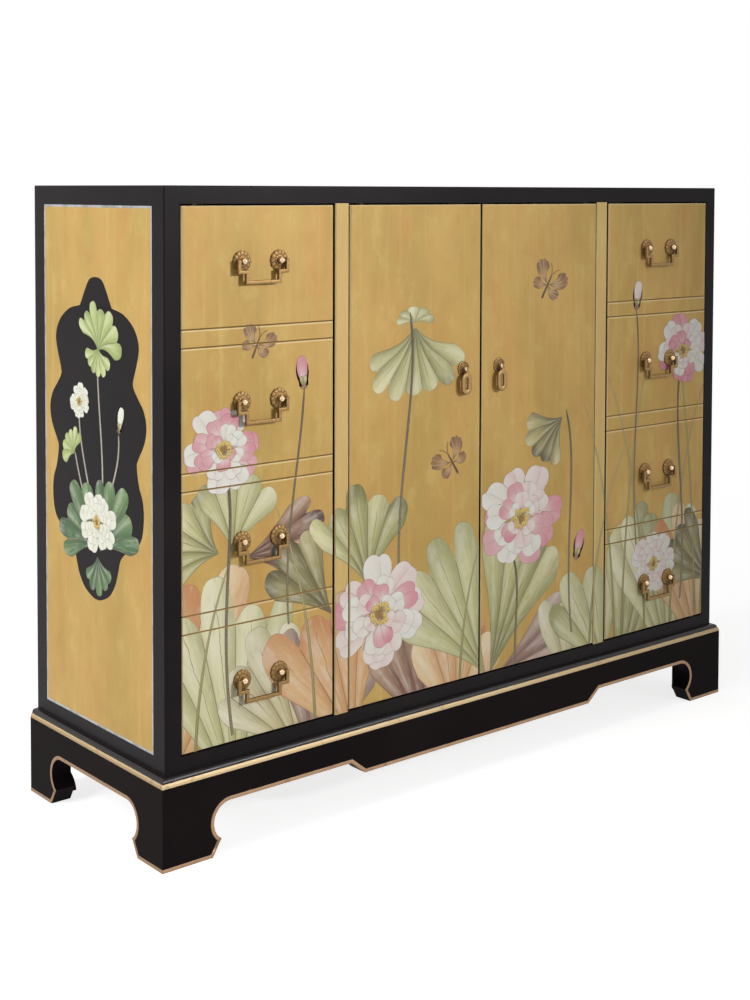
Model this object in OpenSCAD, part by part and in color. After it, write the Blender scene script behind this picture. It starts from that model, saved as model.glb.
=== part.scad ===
// Lacquered entryway cabinet on a bracket base, with four gilded doors
// Sizes are in millimetres, the front faces -Y and the origin is under the middle of the cabinet.

/* [Overall] */
// Height from the floor to the top
cabinet_h = 930; // [880:1:990]
// Width over the base
base_w = 1200; // [1160:1:1300]
// Depth of the case, without the base's overhang
case_d = 366; // [340:1:420]

/* [Base] */
// Height of the base under the case
base_h = 115; // [105:1:140]
// How far the base stands out past the case, at the front and the sides
base_overhang = 12; // [10:0.5:20]
// Thickness of the apron boards
apron_t = 32; // [16:1:40]
// Height of the aprons' lower edge between the feet
apron_edge_z = 74.5; // [62:0.5:80]
// Height of the lower edge of the front apron's centre drop
drop_edge_z = 54; // [36:0.5:64]
// Half the width of the centre drop, along its lower edge
drop_half_w = 246; // [200:1:300]
// Width of the slanted step at each end of the centre drop
drop_step_w = 26; // [12:1:40]
// Width of a foot on the floor, seen from the front
front_foot_w = 81.5; // [70:0.5:110]
// Width of a foot on the floor, seen from the side
side_foot_w = 65; // [60:1:100]
// Width of a foot on the floor, seen from the back
back_foot_w = 36; // [34:0.5:100]
// How far the toe stands out past the sole
toe_out = 14.5; // [6:0.5:18]
// Height of the toe's point
toe_z = 24; // [16:0.5:28]
// Radius of the hollow above the toe
neck_r = 27.5; // [22:0.5:30]
// Side of the square blocks behind the front feet's mitres
corner_block_w = 28; // [24:1:40]
// Side of the blocks behind the back feet's mitres, which are cut to a hoof
back_block_w = 18.5; // [15:0.5:24]
// Side of a back block at the neck above its hoof
back_neck_w = 5; // [4:0.5:8]
// Height up to which a back block is cut to a hoof
back_hoof_h = 60; // [50:1:64]
// Radius of the hoof's swelling faces
back_hoof_r = 86; // [80:1:120]
// How far the corner blocks stay above the floor
corner_block_lift = 4; // [1:0.5:20]
// Height of the moulding between base and case
moulding_h = 12.5; // [10:0.5:18]
// Height of the moulding's gilded band
gold_band_h = 6; // [4:0.5:8]
// How far the gilded band slopes in
gold_band_in = 2.2; // [1:0.1:4]
// Radius of the black bead above the band
bead_r = 5.4; // [4:0.1:5.9]

/* [Frame] */
// Width of the posts, seen from the front
post_w = 25.5; // [22:0.5:34]
// Depth of the posts, seen from the side
post_d = 30; // [26:0.5:40]
// Height of the front and back top rails, and of the top board
top_rail_h = 25; // [20:0.5:34]
// Height of the side top rails
side_top_rail_h = 28; // [24:0.5:36]
// Height of the front and back bottom rails
bottom_rail_h = 33.5; // [28:0.5:44]
// Height of the side bottom rails
side_bottom_rail_h = 33; // [28:0.5:44]
// Radius of the case's eased outer edges
case_arris = 2; // [1:0.1:4]
// Thickness of the side panels
side_panel_t = 18; // [12:1:22]
// How far the side panels lie behind the frame's face
side_panel_in = 0.6; // [0.2:0.1:3]
// Thickness of the bottom board
bottom_t = 18; // [12:1:24]
// Thickness of the back panel
back_t = 6; // [4:0.5:10]
// How far the back panel lies inside the frame's back
back_in = 4; // [2:0.5:10]

/* [Stiles and shelves] */
// Width of the gilded stiles between the doors
stile_w = 25.5; // [22:0.5:36]
// Thickness of the stiles, from their proud face
stile_t = 21; // [18:0.5:26]
// Thickness of the partitions behind the stiles
partition_t = 18; // [12:1:20]
// Number of shelves in each column
shelf_count = 3; // [1:1:3]
// Thickness of a shelf
shelf_t = 16; // [12:1:22]
// How far the shelves' front edges lie behind the case's front
shelf_setback = 48; // [44:1:90]
// Clearance at a shelf's ends and back
shelf_clear = 0.4; // [0.2:0.1:1]
// Radius of a shelf pin
shelf_pin_r = 2.5; // [2:0.1:4]
// Length of a shelf pin inside the board
shelf_pin_in = 7; // [4:0.5:8]
// Length of a shelf pin under the shelf
shelf_pin_out = 9; // [6:0.5:16]
// Distance of the shelf pins from a shelf's front and back edges
shelf_pin_edge = 45; // [30:1:70]

/* [Doors] */
// Width of an outer door
outer_door_w = 262; // [230:1:280]
// Thickness of a door
door_t = 20; // [18:0.5:24]
// How far the doors and stiles stand proud of the frame
door_proud = 1; // [0:0.1:2]
// Gap between an outer door and its post
post_gap = 1.5; // [1.4:0.1:3]
// Gap between an outer door's free edge and the stile
free_gap = 4; // [2:0.1:6]
// Gap between an inner door and its stile
stile_gap = 2; // [1.4:0.1:4]
// Gap between the two inner doors
centre_gap = 4; // [2:0.1:6]
// Gap above and below a door
door_gap_z = 2.5; // [1.5:0.1:4]
// Radius of the eased edges of doors and stiles
door_arris = 2.5; // [1:0.1:2.6]
// Opening angle of the doors, for showing them open
door_angle = 0; // [0:1:105]

/* [False drawer grooves] */
// Height of the top field, above the first groove
top_field_h = 168.5; // [150:0.5:180]
// Height of the two middle fields
mid_field_h = 171; // [150:0.5:180]
// Distance between the two grooves of a pair
groove_pitch = 25.3; // [18:0.1:32]
// Width of a scored groove
groove_w = 2.4; // [1:0.1:4]

/* [Door pivots] */
// Distance of the pivot from the door's hinge edge
pivot_in = 24; // [22:0.5:34]
// Distance of the pivot behind the door's face
pivot_back = 7; // [6:0.5:7.4]
// Radius of the pivot pins
pivot_pin_r = 2.5; // [2:0.1:3]
// Running clearance round the pivot pins
pivot_clear = 0.05; // [0.01:0.01:0.1]
// Length of the pin past the door's edge
pivot_reach = 7; // [4:0.5:10]
// Air round a pin in the wood behind its plate
well_air = 0.5; // [0.2:0.1:1]
// Air past a pin's end
pin_end_air = 1; // [0.5:0.1:3]
// Length of a pivot plate
plate_l = 46; // [30:1:48]
// Width of a pivot plate
plate_w = 8.8; // [8:0.1:9]
// Thickness of a pivot plate
plate_t = 2; // [1.5:0.1:3]
// Radius of the shoulder that carries a door
shoulder_r = 4.2; // [3.6:0.1:4.4]
// Air between a shoulder and the door's plate
shoulder_air = 0.3; // [0.2:0.1:0.6]

/* [Magnetic catches] */
// Width of a catch and of its strike
catch_w = 40; // [30:1:50]
// Depth of a catch
catch_d = 14; // [12:0.5:20]
// Height of a catch
catch_h = 14; // [10:0.5:18]
// Thickness of a strike on a door's back
strike_t = 1.5; // [1:0.1:2]
// Air between a strike and its magnet
strike_air = 0.3; // [0.2:0.1:0.6]
// How far a strike's upper and lower edges lie inside its catch's height
strike_margin = 1; // [0.5:0.1:3]
// Distance of a catch's middle from the door's free edge
catch_edge = 30; // [26:1:60]

/* [Bail handles] */
// Number of bail handles on an outer door
bail_count = 4; // [1:1:4]
// Depth of the top handle's pivot below the door's top
bail_top_drop = 77.5; // [60:0.5:100]
// Distance between two handles
bail_pitch = 196.5; // [180:0.5:200]
// Distance between a handle's two posts
bail_posts = 64; // [56:0.5:80]
// Width across a bail's upper, wider part
bail_outer_w = 82.8; // [78:0.2:90]
// Width across a bail's lower, narrower part
bail_inner_w = 56; // [46:0.5:60]
// Depth of the step below the pivot
bail_step_z = 15; // [13:0.5:22]
// Depth of the grip bar below the pivot
bail_drop_z = 29.5; // [26:0.5:42]
// Thickness of the bail's square bar
bail_bar = 5.2; // [3:0.1:6]
// Radius of the bail's pivot pins
bail_pin_r = 1.5; // [1:0.1:2]
// Running clearance round small pins
pin_clear = 0.05; // [0.02:0.01:0.1]
// Distance of a handle's pivot from the door's face
bail_standoff = 7.5; // [6.5:0.1:10]
// Radius of the ball on a post
ball_r = 4.5; // [3.6:0.1:5]
// Radius of a post between rosette and ball
post_r = 2.8; // [2.2:0.1:3.4]
// Radius of a rosette over its lobes
rosette_r = 15; // [12:0.5:17]
// Thickness of a rosette
rosette_t = 3; // [2:0.1:3.2]
// Number of lobes round a rosette
rosette_lobes = 12; // [8:1:16]
// Radius of a lobe
lobe_r = 3.7; // [3:0.1:4.5]

/* [Drop pulls] */
// Height of the drop pulls' pivots above the floor
pull_z = 645; // [500:1:760]
// Distance of a pull from the inner door's free edge
pull_edge = 37; // [26:0.5:60]
// Radius of a pull's round back plate
pull_plate_r = 12; // [8:0.1:14]
// Height of the back plate's dome
pull_dome_h = 3.2; // [2:0.1:4]
// Distance of a pull's pivot from the door's face
pull_standoff = 7.5; // [7:0.1:10]
// Radius of the slotted ball that holds the drop
pull_ball_r = 4.3; // [3.8:0.1:5]
// Width of the drop's tongue in the ball's slot
tongue_w = 3; // [2.4:0.1:3.4]
// Clearance on each side of the tongue
tongue_clear = 0.3; // [0.2:0.05:0.5]
// Radius of the tongue's eye
eye_r = 2.4; // [2.2:0.1:2.8]
// Radius of the pin through the eye
pull_pin_r = 1.1; // [0.9:0.1:1.3]
// Air between the ball and the drop's shoulder
drop_neck_air = 1; // [0.6:0.1:2]
// Half the width of the oval drop
drop_r = 10.5; // [6:0.1:12]
// Depth of the oval's upper centre below the pivot
drop_upper_z = 19; // [15:0.5:22]
// Depth of the oval's lower centre below the pivot
drop_lower_z = 30.5; // [24:0.5:36]
// Thickness of the drop
drop_t = 4.4; // [3:0.1:5]
// Width of the slot in the drop
slot_w = 4.6; // [2:0.1:6]

/* [Hidden] */
$fn = 48;
// Small overlap that keeps cuts clean
eps = 0.5;
// Share by which the toe's slope runs on into the neck's hollow
toe_run = 1.2;

// Colours as the photograph shows them
lacquer = [0.07, 0.06, 0.06];
gold = [0.74, 0.60, 0.34];
inside_wood = [0.16, 0.12, 0.10];
brass = [0.55, 0.43, 0.26];
steel = [0.66, 0.66, 0.68];

// Where the case lies: the handles reach furthest forward and the back is flat
case_w = base_w - 2 * base_overhang;
pull_slot = tongue_w + 2 * tongue_clear;
pull_front = pull_standoff + sqrt(pull_ball_r * pull_ball_r - pull_slot * pull_slot / 4);
handle_reach = door_proud + max(bail_standoff + ball_r, pull_front);
front_reach = max(handle_reach, base_overhang);
y_front = -(case_d + front_reach) / 2 + front_reach;
y_back = y_front + case_d;
y_base = y_front - base_overhang;
y_face = y_front - door_proud;
x_case = case_w / 2;
x_base = base_w / 2;
base_d = case_d + base_overhang;

// Heights in the case
z_case = base_h;
z_floor = z_case + bottom_rail_h;
z_ceiling = cabinet_h - top_rail_h;
z_door = z_floor + door_gap_z;
door_top = z_ceiling - door_gap_z;
door_h = door_top - z_door;

// Doors, as left edge, width, hinge side (-1 at the left edge, 1 at the right edge)
x_outer = x_case - post_w - post_gap - outer_door_w;
x_stile = x_outer - free_gap - stile_w;
x_stile_mid = x_stile + stile_w / 2;
inner_door_w = x_stile - stile_gap - centre_gap / 2;
LEFT_OUTER = [-x_outer - outer_door_w, outer_door_w, -1];
LEFT_INNER = [-x_stile + stile_gap, inner_door_w, -1];
RIGHT_INNER = [centre_gap / 2, inner_door_w, 1];
RIGHT_OUTER = [x_outer, outer_door_w, 1];
DOORS = [LEFT_OUTER, LEFT_INNER, RIGHT_INNER, RIGHT_OUTER];
y_pivot = y_face + pivot_back;

// Shelves
column_h = z_ceiling - z_floor;
bay_h = (column_h - shelf_count * shelf_t) / (shelf_count + 1);
y_shelf = y_front + shelf_setback;
y_shelf_back = y_back - back_in - back_t - shelf_clear;
x_side_in = x_case - side_panel_t;
x_column = x_stile_mid - partition_t / 2;

// Bracket feet: how far the middle of the neck's hollow lies from the base's corner
neck_z = apron_edge_z - neck_r;
toe_half_chord = sqrt(neck_r * neck_r - (neck_z - toe_z) * (neck_z - toe_z));
function neck_u(foot_w) = foot_w + toe_out + toe_half_chord;

function pivot_x(door) = door[2] < 0 ? door[0] + pivot_in : door[0] + door[1] - pivot_in;
function free_x(door, inset) = door[2] < 0 ? door[0] + door[1] - inset : door[0] + inset;
function middle_x(door) = door[0] + door[1] / 2;
function shelf_z(i) = z_floor + (i + 1) * bay_h + i * shelf_t;
function bail_z(i) = door_top - bail_top_drop - i * bail_pitch;

// A box between two corners
module block(low, high) {
    translate(low) cube(high - low);
}

// A rectangle whose corners are rounded one by one: lower left, lower right, upper right, upper left
module soft_rect(w, h, radii) {
    corners = [[0, 0], [w, 0], [w, h], [0, h]];
    difference() {
        square([w, h]);
        for (i = [0:3]) if (radii[i] > 0) translate(corners[i]) rotate(i * 90) difference() {
            translate([-eps, -eps]) square(radii[i] + eps);
            translate([radii[i], radii[i]]) circle(radii[i]);
        }
    }
}

// A board that stands upright, its front edges eased all round
module eased_board(x, z, w, h, t) {
    intersection() {
        translate([x, y_face, z]) linear_extrude(h) soft_rect(w, t, [door_arris, door_arris, 0, 0]);
        translate([x, y_face, z]) rotate([90, 0, 90])
            linear_extrude(w) soft_rect(t, h, [door_arris, 0, 0, door_arris]);
    }
}

// A case post; side is -1 at the left and 1 at the right, deep is true at the back
module case_post(side, deep) {
    y0 = deep ? y_back - post_d : y_front;
    x0 = side < 0 ? -x_case : x_case - post_w;
    a = case_arris;
    plan = side < 0 ? (deep ? [0, 0, 0, a] : [a, 0, 0, 0]) : (deep ? [0, 0, a, 0] : [0, a, 0, 0]);
    across = side < 0 ? [0, 0, 0, a] : [0, 0, a, 0];
    along = deep ? [0, 0, a, 0] : [0, 0, 0, a];
    h = cabinet_h - z_case;
    intersection() {
        translate([x0, y0, z_case]) linear_extrude(h) soft_rect(post_w, post_d, plan);
        translate([x0, y0 + post_d, z_case]) rotate([90, 0, 0])
            linear_extrude(post_d) soft_rect(post_w, h, across);
        translate([x0, y0, z_case]) rotate([90, 0, 90])
            linear_extrude(post_w) soft_rect(post_d, h, along);
    }
}

// A rail between the posts, along X; the outer upper edge is eased on a top rail
module long_rail(y0, z0, h, radii) {
    translate([-x_case + post_w, y0, z0]) rotate([90, 0, 90])
        linear_extrude(case_w - 2 * post_w) soft_rect(post_d, h, radii);
}

// A rail between the posts, along Y
module side_rail(side, z0, h, arris) {
    x0 = side < 0 ? -x_case : x_case - post_w;
    radii = side < 0 ? [0, 0, 0, arris] : [0, 0, arris, 0];
    translate([x0, y_back - post_d, z0]) rotate([90, 0, 0])
        linear_extrude(case_d - 2 * post_d) soft_rect(post_w, h, radii);
}

// The space that a pivot plate takes, from z up to z + plate_t
module plate_space(door, z) {
    px = pivot_x(door);
    x0 = door[2] < 0 ? px - pivot_in / 2 : px - plate_l + pivot_in / 2;
    block([x0, y_pivot - plate_w / 2, z], [x0 + plate_l, y_pivot + plate_w / 2, z + plate_t]);
}

module front_top_rail() {
    color(lacquer) difference() {
        long_rail(y_front, z_ceiling, top_rail_h, [0, 0, 0, case_arris]);
        for (door = DOORS) plate_space(door, z_ceiling);
    }
}

module front_bottom_rail() {
    color(lacquer) difference() {
        long_rail(y_front, z_case, bottom_rail_h, [0, 0, 0, 0]);
        for (door = DOORS) plate_space(door, z_floor - plate_t);
    }
}

module back_top_rail() {
    color(lacquer) long_rail(y_back - post_d, z_ceiling, top_rail_h, [0, 0, case_arris, 0]);
}

module back_bottom_rail() {
    color(lacquer) long_rail(y_back - post_d, z_case, bottom_rail_h, [0, 0, 0, 0]);
}

module side_top_rail(side) {
    color(lacquer) side_rail(side, cabinet_h - side_top_rail_h, side_top_rail_h, case_arris);
}

module side_bottom_rail(side) {
    color(lacquer) side_rail(side, z_case, side_bottom_rail_h, 0);
}

module top_panel() {
    color(lacquer)
        block([-x_case + post_w, y_front + post_d, z_ceiling], [x_case - post_w, y_back - post_d, cabinet_h]);
}

module bottom_panel() {
    color(inside_wood)
        block([-x_case + post_w, y_front + post_d, z_floor - bottom_t],
              [x_case - post_w, y_back - post_d, z_floor]);
}

module back_panel() {
    color(lacquer)
        block([-x_case + post_w, y_back - back_in - back_t, z_floor],
              [x_case - post_w, y_back - back_in, z_ceiling]);
}

// Holes for the shelf pins, along X through the board between x0 and x1
module pin_holes(x0, x1) {
    for (i = [0:shelf_count - 1], y = [y_shelf + shelf_pin_edge, y_shelf_back - shelf_pin_edge])
        translate([x0, y, shelf_z(i) - shelf_pin_r]) rotate([0, 90, 0])
            cylinder(r = shelf_pin_r + pin_clear, h = x1 - x0);
}

module side_panel(side) {
    color(gold) mirror([side > 0 ? 1 : 0, 0, 0]) difference() {
        block([-x_case + side_panel_in, y_front + post_d, z_case + side_bottom_rail_h],
              [-x_side_in, y_back - post_d, cabinet_h - side_top_rail_h]);
        pin_holes(-x_side_in - shelf_pin_in - eps, -x_side_in + eps);
    }
}

// A gilded stile between an outer and an inner door
module stile(side) {
    x0 = side < 0 ? -x_stile - stile_w : x_stile;
    color(gold) translate([x0, y_face, z_floor]) linear_extrude(z_ceiling - z_floor)
        soft_rect(stile_w, stile_t, [door_arris, door_arris, 0, 0]);
}

module partition(side) {
    mid = side * (x_stile_mid);
    color(inside_wood) difference() {
        block([mid - partition_t / 2, y_face + stile_t, z_floor],
              [mid + partition_t / 2, y_back - back_in - back_t, z_ceiling]);
        pin_holes(mid - partition_t / 2 - eps, mid + partition_t / 2 + eps);
    }
}

// What a shelf leaves free for the left back post
module shelf_notch() {
    block([-x_case, y_back - post_d - shelf_clear, z_floor],
          [-x_case + post_w + shelf_clear, y_back, z_ceiling]);
}

// Shelves between x0 and x1, cut out round the back posts where they reach them
module shelves(x0, x1) {
    color(inside_wood) for (i = [0:shelf_count - 1]) difference() {
        block([x0 + shelf_clear, y_shelf, shelf_z(i)],
              [x1 - shelf_clear, y_shelf_back, shelf_z(i) + shelf_t]);
        shelf_notch();
        mirror([1, 0, 0]) shelf_notch();
    }
}

// One shelf pin that points into a column: side is 1 where the column lies towards +X
module shelf_pin(x, y, z, side) {
    x0 = side > 0 ? x - shelf_pin_in : x - shelf_pin_out;
    translate([x0, y, z]) rotate([0, 90, 0]) cylinder(r = shelf_pin_r, h = shelf_pin_in + shelf_pin_out);
}

module shelf_pins() {
    walls = [
        [-x_side_in, 1], [-x_column - partition_t, -1], [-x_column, 1],
        [x_column, -1], [x_column + partition_t, 1], [x_side_in, -1]
    ];
    rows = [y_shelf + shelf_pin_edge, y_shelf_back - shelf_pin_edge];
    color(steel)
        for (wall = walls, i = [0:shelf_count - 1], y = rows)
            shelf_pin(wall[0], y, shelf_z(i) - shelf_pin_r, wall[1]);
}

// The face of an apron with a bracket foot at each end, in its own plane; drop is true at the front
module apron_face(length, foot_w, drop) {
    neck = length / 2 - neck_u(foot_w);
    difference() {
        translate([-length / 2, 0]) square([length, base_h]);
        for (side = [-1, 1]) {
            translate([side * neck, neck_z]) circle(neck_r, $fn = 96);
            polygon([
                [side * (length / 2 - foot_w), 0],
                [side * (length / 2 - foot_w - toe_run * toe_out), toe_run * toe_z],
                [side * (neck - eps), toe_run * toe_z],
                [side * (neck - eps), -eps],
                [side * (length / 2 - foot_w), -eps]
            ]);
        }
        difference() {
            translate([-neck, -eps]) square([2 * neck, apron_edge_z + eps]);
            if (drop) polygon([
                [-drop_half_w - drop_step_w, apron_edge_z],
                [-drop_half_w, drop_edge_z],
                [drop_half_w, drop_edge_z],
                [drop_half_w + drop_step_w, apron_edge_z],
                [drop_half_w + drop_step_w, apron_edge_z + eps],
                [-drop_half_w - drop_step_w, apron_edge_z + eps]
            ]);
        }
    }
}

// The plan of an apron along X with mitred ends, its outer face on the line y = 0
module mitred_plan(length, depth) {
    polygon([[-length / 2, 0], [length / 2, 0], [length / 2 - depth, depth], [-length / 2 + depth, depth]]);
}

// An apron along X with its outer face on y = 0 and mitred ends
module mitred_apron(length, foot_w, drop) {
    color(lacquer) intersection() {
        translate([0, apron_t, 0]) rotate([90, 0, 0])
            linear_extrude(apron_t) apron_face(length, foot_w, drop);
        linear_extrude(base_h) mitred_plan(length, apron_t);
    }
}

module front_apron() {
    translate([0, y_base, 0]) mitred_apron(base_w, front_foot_w, true);
}

module back_apron() {
    translate([0, y_back, 0]) rotate([0, 0, 180]) mitred_apron(base_w, back_foot_w, false);
}

module side_apron(side) {
    translate([side * x_base, (y_base + y_back) / 2, 0]) rotate([0, 0, side * 90])
        mitred_apron(base_d, side_foot_w, false);
}

// What is cut from a back block's free face to leave the hoof, in that face's own plane
module hoof_cut() {
    difference() {
        translate([back_neck_w, -eps]) square([back_block_w, back_hoof_h + eps]);
        translate([back_block_w - back_hoof_r, 0]) circle(back_hoof_r, $fn = 192);
    }
}

// The block in the left back foot, whose two free faces follow the hoof
module back_block() {
    w = back_block_w;
    x = apron_t - x_base;
    y = y_back - apron_t;
    difference() {
        block([x, y - w, corner_block_lift], [x + w, y, z_case]);
        translate([x, y + eps, 0]) rotate([90, 0, 0]) linear_extrude(w + 2 * eps) hoof_cut();
        translate([x - eps, y, 0]) rotate([90, 0, 90]) linear_extrude(w + 2 * eps) mirror([1, 0]) hoof_cut();
    }
}

module corner_blocks() {
    w = corner_block_w;
    x = apron_t - x_base;
    y = y_base + apron_t;
    color(lacquer) for (side = [0, 1]) mirror([side, 0, 0]) {
        block([x, y, corner_block_lift], [x + w, y + w, z_case]);
        back_block();
    }
}

// The moulding's section: u is measured from the base's outer face inwards
module moulding_section() {
    shelf_u = gold_band_in + gold_band_h / 10;
    top_z = min(gold_band_h + bead_r + gold_band_h / 10, moulding_h);
    polygon([
        [0, 0],
        [gold_band_in / 3, gold_band_h / 2],
        [gold_band_in, gold_band_h],
        [shelf_u + gold_band_h / 10, gold_band_h],
        [shelf_u + bead_r / 2, gold_band_h + bead_r / 10],
        [shelf_u + bead_r, top_z],
        [base_overhang - bead_r / 3, top_z],
        [base_overhang, moulding_h],
        [base_overhang, 0]
    ]);
    intersection() {
        translate([shelf_u + bead_r, gold_band_h + gold_band_h / 10]) circle(bead_r);
        translate([0, gold_band_h]) square([base_overhang, moulding_h - gold_band_h]);
    }
}

// What the moulding's cutter takes away outside its section
module moulding_waste() {
    difference() {
        translate([-eps, -eps]) square([base_overhang + eps, moulding_h + 2 * eps]);
        moulding_section();
    }
}

// The cutter that runs along the left side
module side_waste() {
    translate([-x_base, y_back + eps, z_case]) rotate([90, 0, 0])
        linear_extrude(base_d + 2 * eps) moulding_waste();
}

// One piece, mitred at the front corners because each cutter runs right past them
module base_moulding() {
    color(gold) difference() {
        block([-x_base, y_base, z_case], [x_base, y_back, z_case + moulding_h]);
        block([-x_case, y_front, z_case - eps], [x_case, y_back + eps, z_case + moulding_h + eps]);
        translate([-x_base - eps, y_base, z_case]) rotate([90, 0, 90])
            linear_extrude(base_w + 2 * eps) moulding_waste();
        side_waste();
        mirror([1, 0, 0]) side_waste();
    }
}

// Pins and plates in the case: each pin has a shoulder that the door's plate runs on
module case_pivot_plates() {
    shoulder_h = door_gap_z - shoulder_air;
    pin_h = door_gap_z + pivot_reach;
    color(brass) for (door = DOORS, top = [false, true]) {
        base_z = top ? z_ceiling : z_floor;
        plate_space(door, top ? z_ceiling : z_floor - plate_t);
        translate([pivot_x(door), y_pivot, base_z]) mirror([0, 0, top ? 1 : 0]) {
            cylinder(r = shoulder_r, h = shoulder_h);
            cylinder(r = pivot_pin_r, h = pin_h);
        }
    }
}

// The two plates in a door's upper and lower edges, each with its bore
module door_pivot_plates(door) {
    color(brass) for (top = [false, true]) {
        z = top ? door_top - plate_t : z_door;
        difference() {
            plate_space(door, z);
            translate([pivot_x(door), y_pivot, z - eps])
                cylinder(r = pivot_pin_r + pivot_clear, h = plate_t + 2 * eps);
        }
    }
}

// Plate seats and pin wells in a door's edges
module pivot_seats(door) {
    well = pivot_reach + pin_end_air;
    plate_space(door, z_door);
    plate_space(door, door_top - plate_t);
    for (z = [z_door, door_top - well])
        translate([pivot_x(door), y_pivot, z]) cylinder(r = pivot_pin_r + well_air, h = well);
}

// A scored groove across a door's face
module groove(door, z) {
    side = groove_w / sqrt(2);
    translate([door[0] - eps, y_face, z]) rotate([45, 0, 0]) translate([0, -side / 2, -side / 2])
        cube([door[1] + 2 * eps, side, side]);
}

module outer_door(door) {
    color(gold) difference() {
        eased_board(door[0], z_door, door[1], door_h, door_t);
        pivot_seats(door);
        for (i = [0:2]) {
            z = door_top - top_field_h - i * (mid_field_h + groove_pitch);
            groove(door, z);
            groove(door, z - groove_pitch);
        }
    }
}

module inner_door(door) {
    color(gold) difference() {
        eased_board(door[0], z_door, door[1], door_h, door_t);
        pivot_seats(door);
    }
}

// A steel strike on a door's back, and the magnet that it meets under the top rail
module strike(door) {
    x = free_x(door, catch_edge);
    y = y_face + door_t;
    color(steel) block([x - catch_w / 2, y, door_top - catch_h + strike_margin],
                       [x + catch_w / 2, y + strike_t, door_top - strike_margin]);
}

module magnetic_catches() {
    y = y_face + door_t + strike_t + strike_air;
    color(inside_wood) for (door = DOORS) {
        x = free_x(door, catch_edge);
        block([x - catch_w / 2, y, z_ceiling - catch_h], [x + catch_w / 2, y + catch_d, z_ceiling]);
    }
}

// A rosette with its post and bored ball, on the door's face, centred on x and z
module rosette_post(x, z) {
    translate([x, y_face, z]) rotate([90, 0, 0]) difference() {
        union() {
            cylinder(r = rosette_r - lobe_r / 2, h = rosette_t);
            for (i = [0:rosette_lobes - 1]) rotate(i * 360 / rosette_lobes)
                translate([rosette_r - lobe_r, 0, 0]) cylinder(r = lobe_r, h = rosette_t * 0.8, $fn = 24);
            cylinder(r1 = rosette_r / 2, r2 = post_r, h = rosette_t * 1.4);
            cylinder(r = post_r, h = bail_standoff);
            translate([0, 0, bail_standoff]) sphere(ball_r);
        }
        translate([-ball_r - eps, 0, bail_standoff]) rotate([0, 90, 0])
            cylinder(r = bail_pin_r + pin_clear, h = 2 * (ball_r + eps));
    }
}

module bail_mounts(door) {
    color(brass) for (i = [0:bail_count - 1], side = [-1, 1])
        rosette_post(middle_x(door) + side * bail_posts / 2, bail_z(i));
}

// The stepped bail's outline, hanging from the pivot line y = 0
module bail_outline() {
    b = bail_bar;
    for (side = [-1, 1]) mirror([side > 0 ? 1 : 0, 0]) {
        translate([-bail_outer_w / 2 - b / 2, -bail_step_z - b / 2]) square([b, bail_step_z + b]);
        translate([-bail_outer_w / 2 - b / 2, -bail_step_z - b / 2])
            square([(bail_outer_w - bail_inner_w) / 2 + b, b]);
        translate([-bail_inner_w / 2 - b / 2, -bail_drop_z - b / 2])
            square([b, bail_drop_z - bail_step_z + b]);
    }
    translate([-bail_inner_w / 2 - b / 2, -bail_drop_z - b / 2]) square([bail_inner_w + b, b]);
}

module bail(door, i) {
    pin_l = (bail_outer_w - bail_posts) / 2 + ball_r * 0.8;
    color(brass) translate([middle_x(door), y_face - bail_standoff, bail_z(i)]) {
        translate([0, bail_bar / 2, 0]) rotate([90, 0, 0]) linear_extrude(bail_bar) bail_outline();
        for (side = [-1, 1]) translate([side * bail_outer_w / 2, 0, 0]) rotate([0, -side * 90, 0])
            cylinder(r = bail_pin_r, h = pin_l);
    }
}

// The domed plate and slotted ball of a drop pull, with the pin across the slot
module pull_mount(door) {
    dome_r = (pull_plate_r * pull_plate_r + pull_dome_h * pull_dome_h) / (2 * pull_dome_h);
    x = free_x(door, pull_edge);
    color(brass) translate([x, y_face, pull_z]) rotate([90, 0, 0]) {
        difference() {
            union() {
                intersection() {
                    cylinder(r = pull_plate_r, h = pull_dome_h + eps);
                    translate([0, 0, pull_dome_h - dome_r]) sphere(dome_r, $fn = 96);
                }
                cylinder(r = post_r, h = pull_standoff);
                translate([0, 0, pull_standoff]) sphere(pull_ball_r);
            }
            translate([-pull_slot / 2, -pull_ball_r - eps, pull_standoff - eye_r - tongue_clear])
                cube([pull_slot, 2 * (pull_ball_r + eps), 2 * pull_ball_r + eps]);
        }
        translate([-pull_ball_r * 0.8, 0, pull_standoff]) rotate([0, 90, 0])
            cylinder(r = pull_pin_r, h = pull_ball_r * 1.6, $fn = 32);
    }
}

// The drop's outline below its pivot: a neck that swells into an oval with a slot
module drop_outline() {
    neck_w = tongue_w / 2;
    neck_top = pull_ball_r + drop_neck_air;
    run = drop_upper_z - neck_top;
    tilt = asin((drop_r - neck_w) / run);
    difference() {
        union() {
            translate([0, -drop_upper_z]) circle(drop_r);
            translate([0, -drop_lower_z]) circle(drop_r);
            translate([-drop_r, -drop_lower_z]) square([2 * drop_r, drop_lower_z - drop_upper_z]);
            polygon([
                [-neck_w * cos(tilt), -neck_top + neck_w * sin(tilt)],
                [neck_w * cos(tilt), -neck_top + neck_w * sin(tilt)],
                [drop_r * cos(tilt), -drop_upper_z + drop_r * sin(tilt)],
                [drop_r * cos(tilt) - eps, -drop_upper_z - eps],
                [-drop_r * cos(tilt) + eps, -drop_upper_z - eps],
                [-drop_r * cos(tilt), -drop_upper_z + drop_r * sin(tilt)]
            ]);
        }
        for (z = [drop_upper_z, drop_lower_z]) translate([0, -z]) circle(slot_w / 2, $fn = 32);
        translate([-slot_w / 2, -drop_lower_z]) square([slot_w, drop_lower_z - drop_upper_z]);
    }
}

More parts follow.
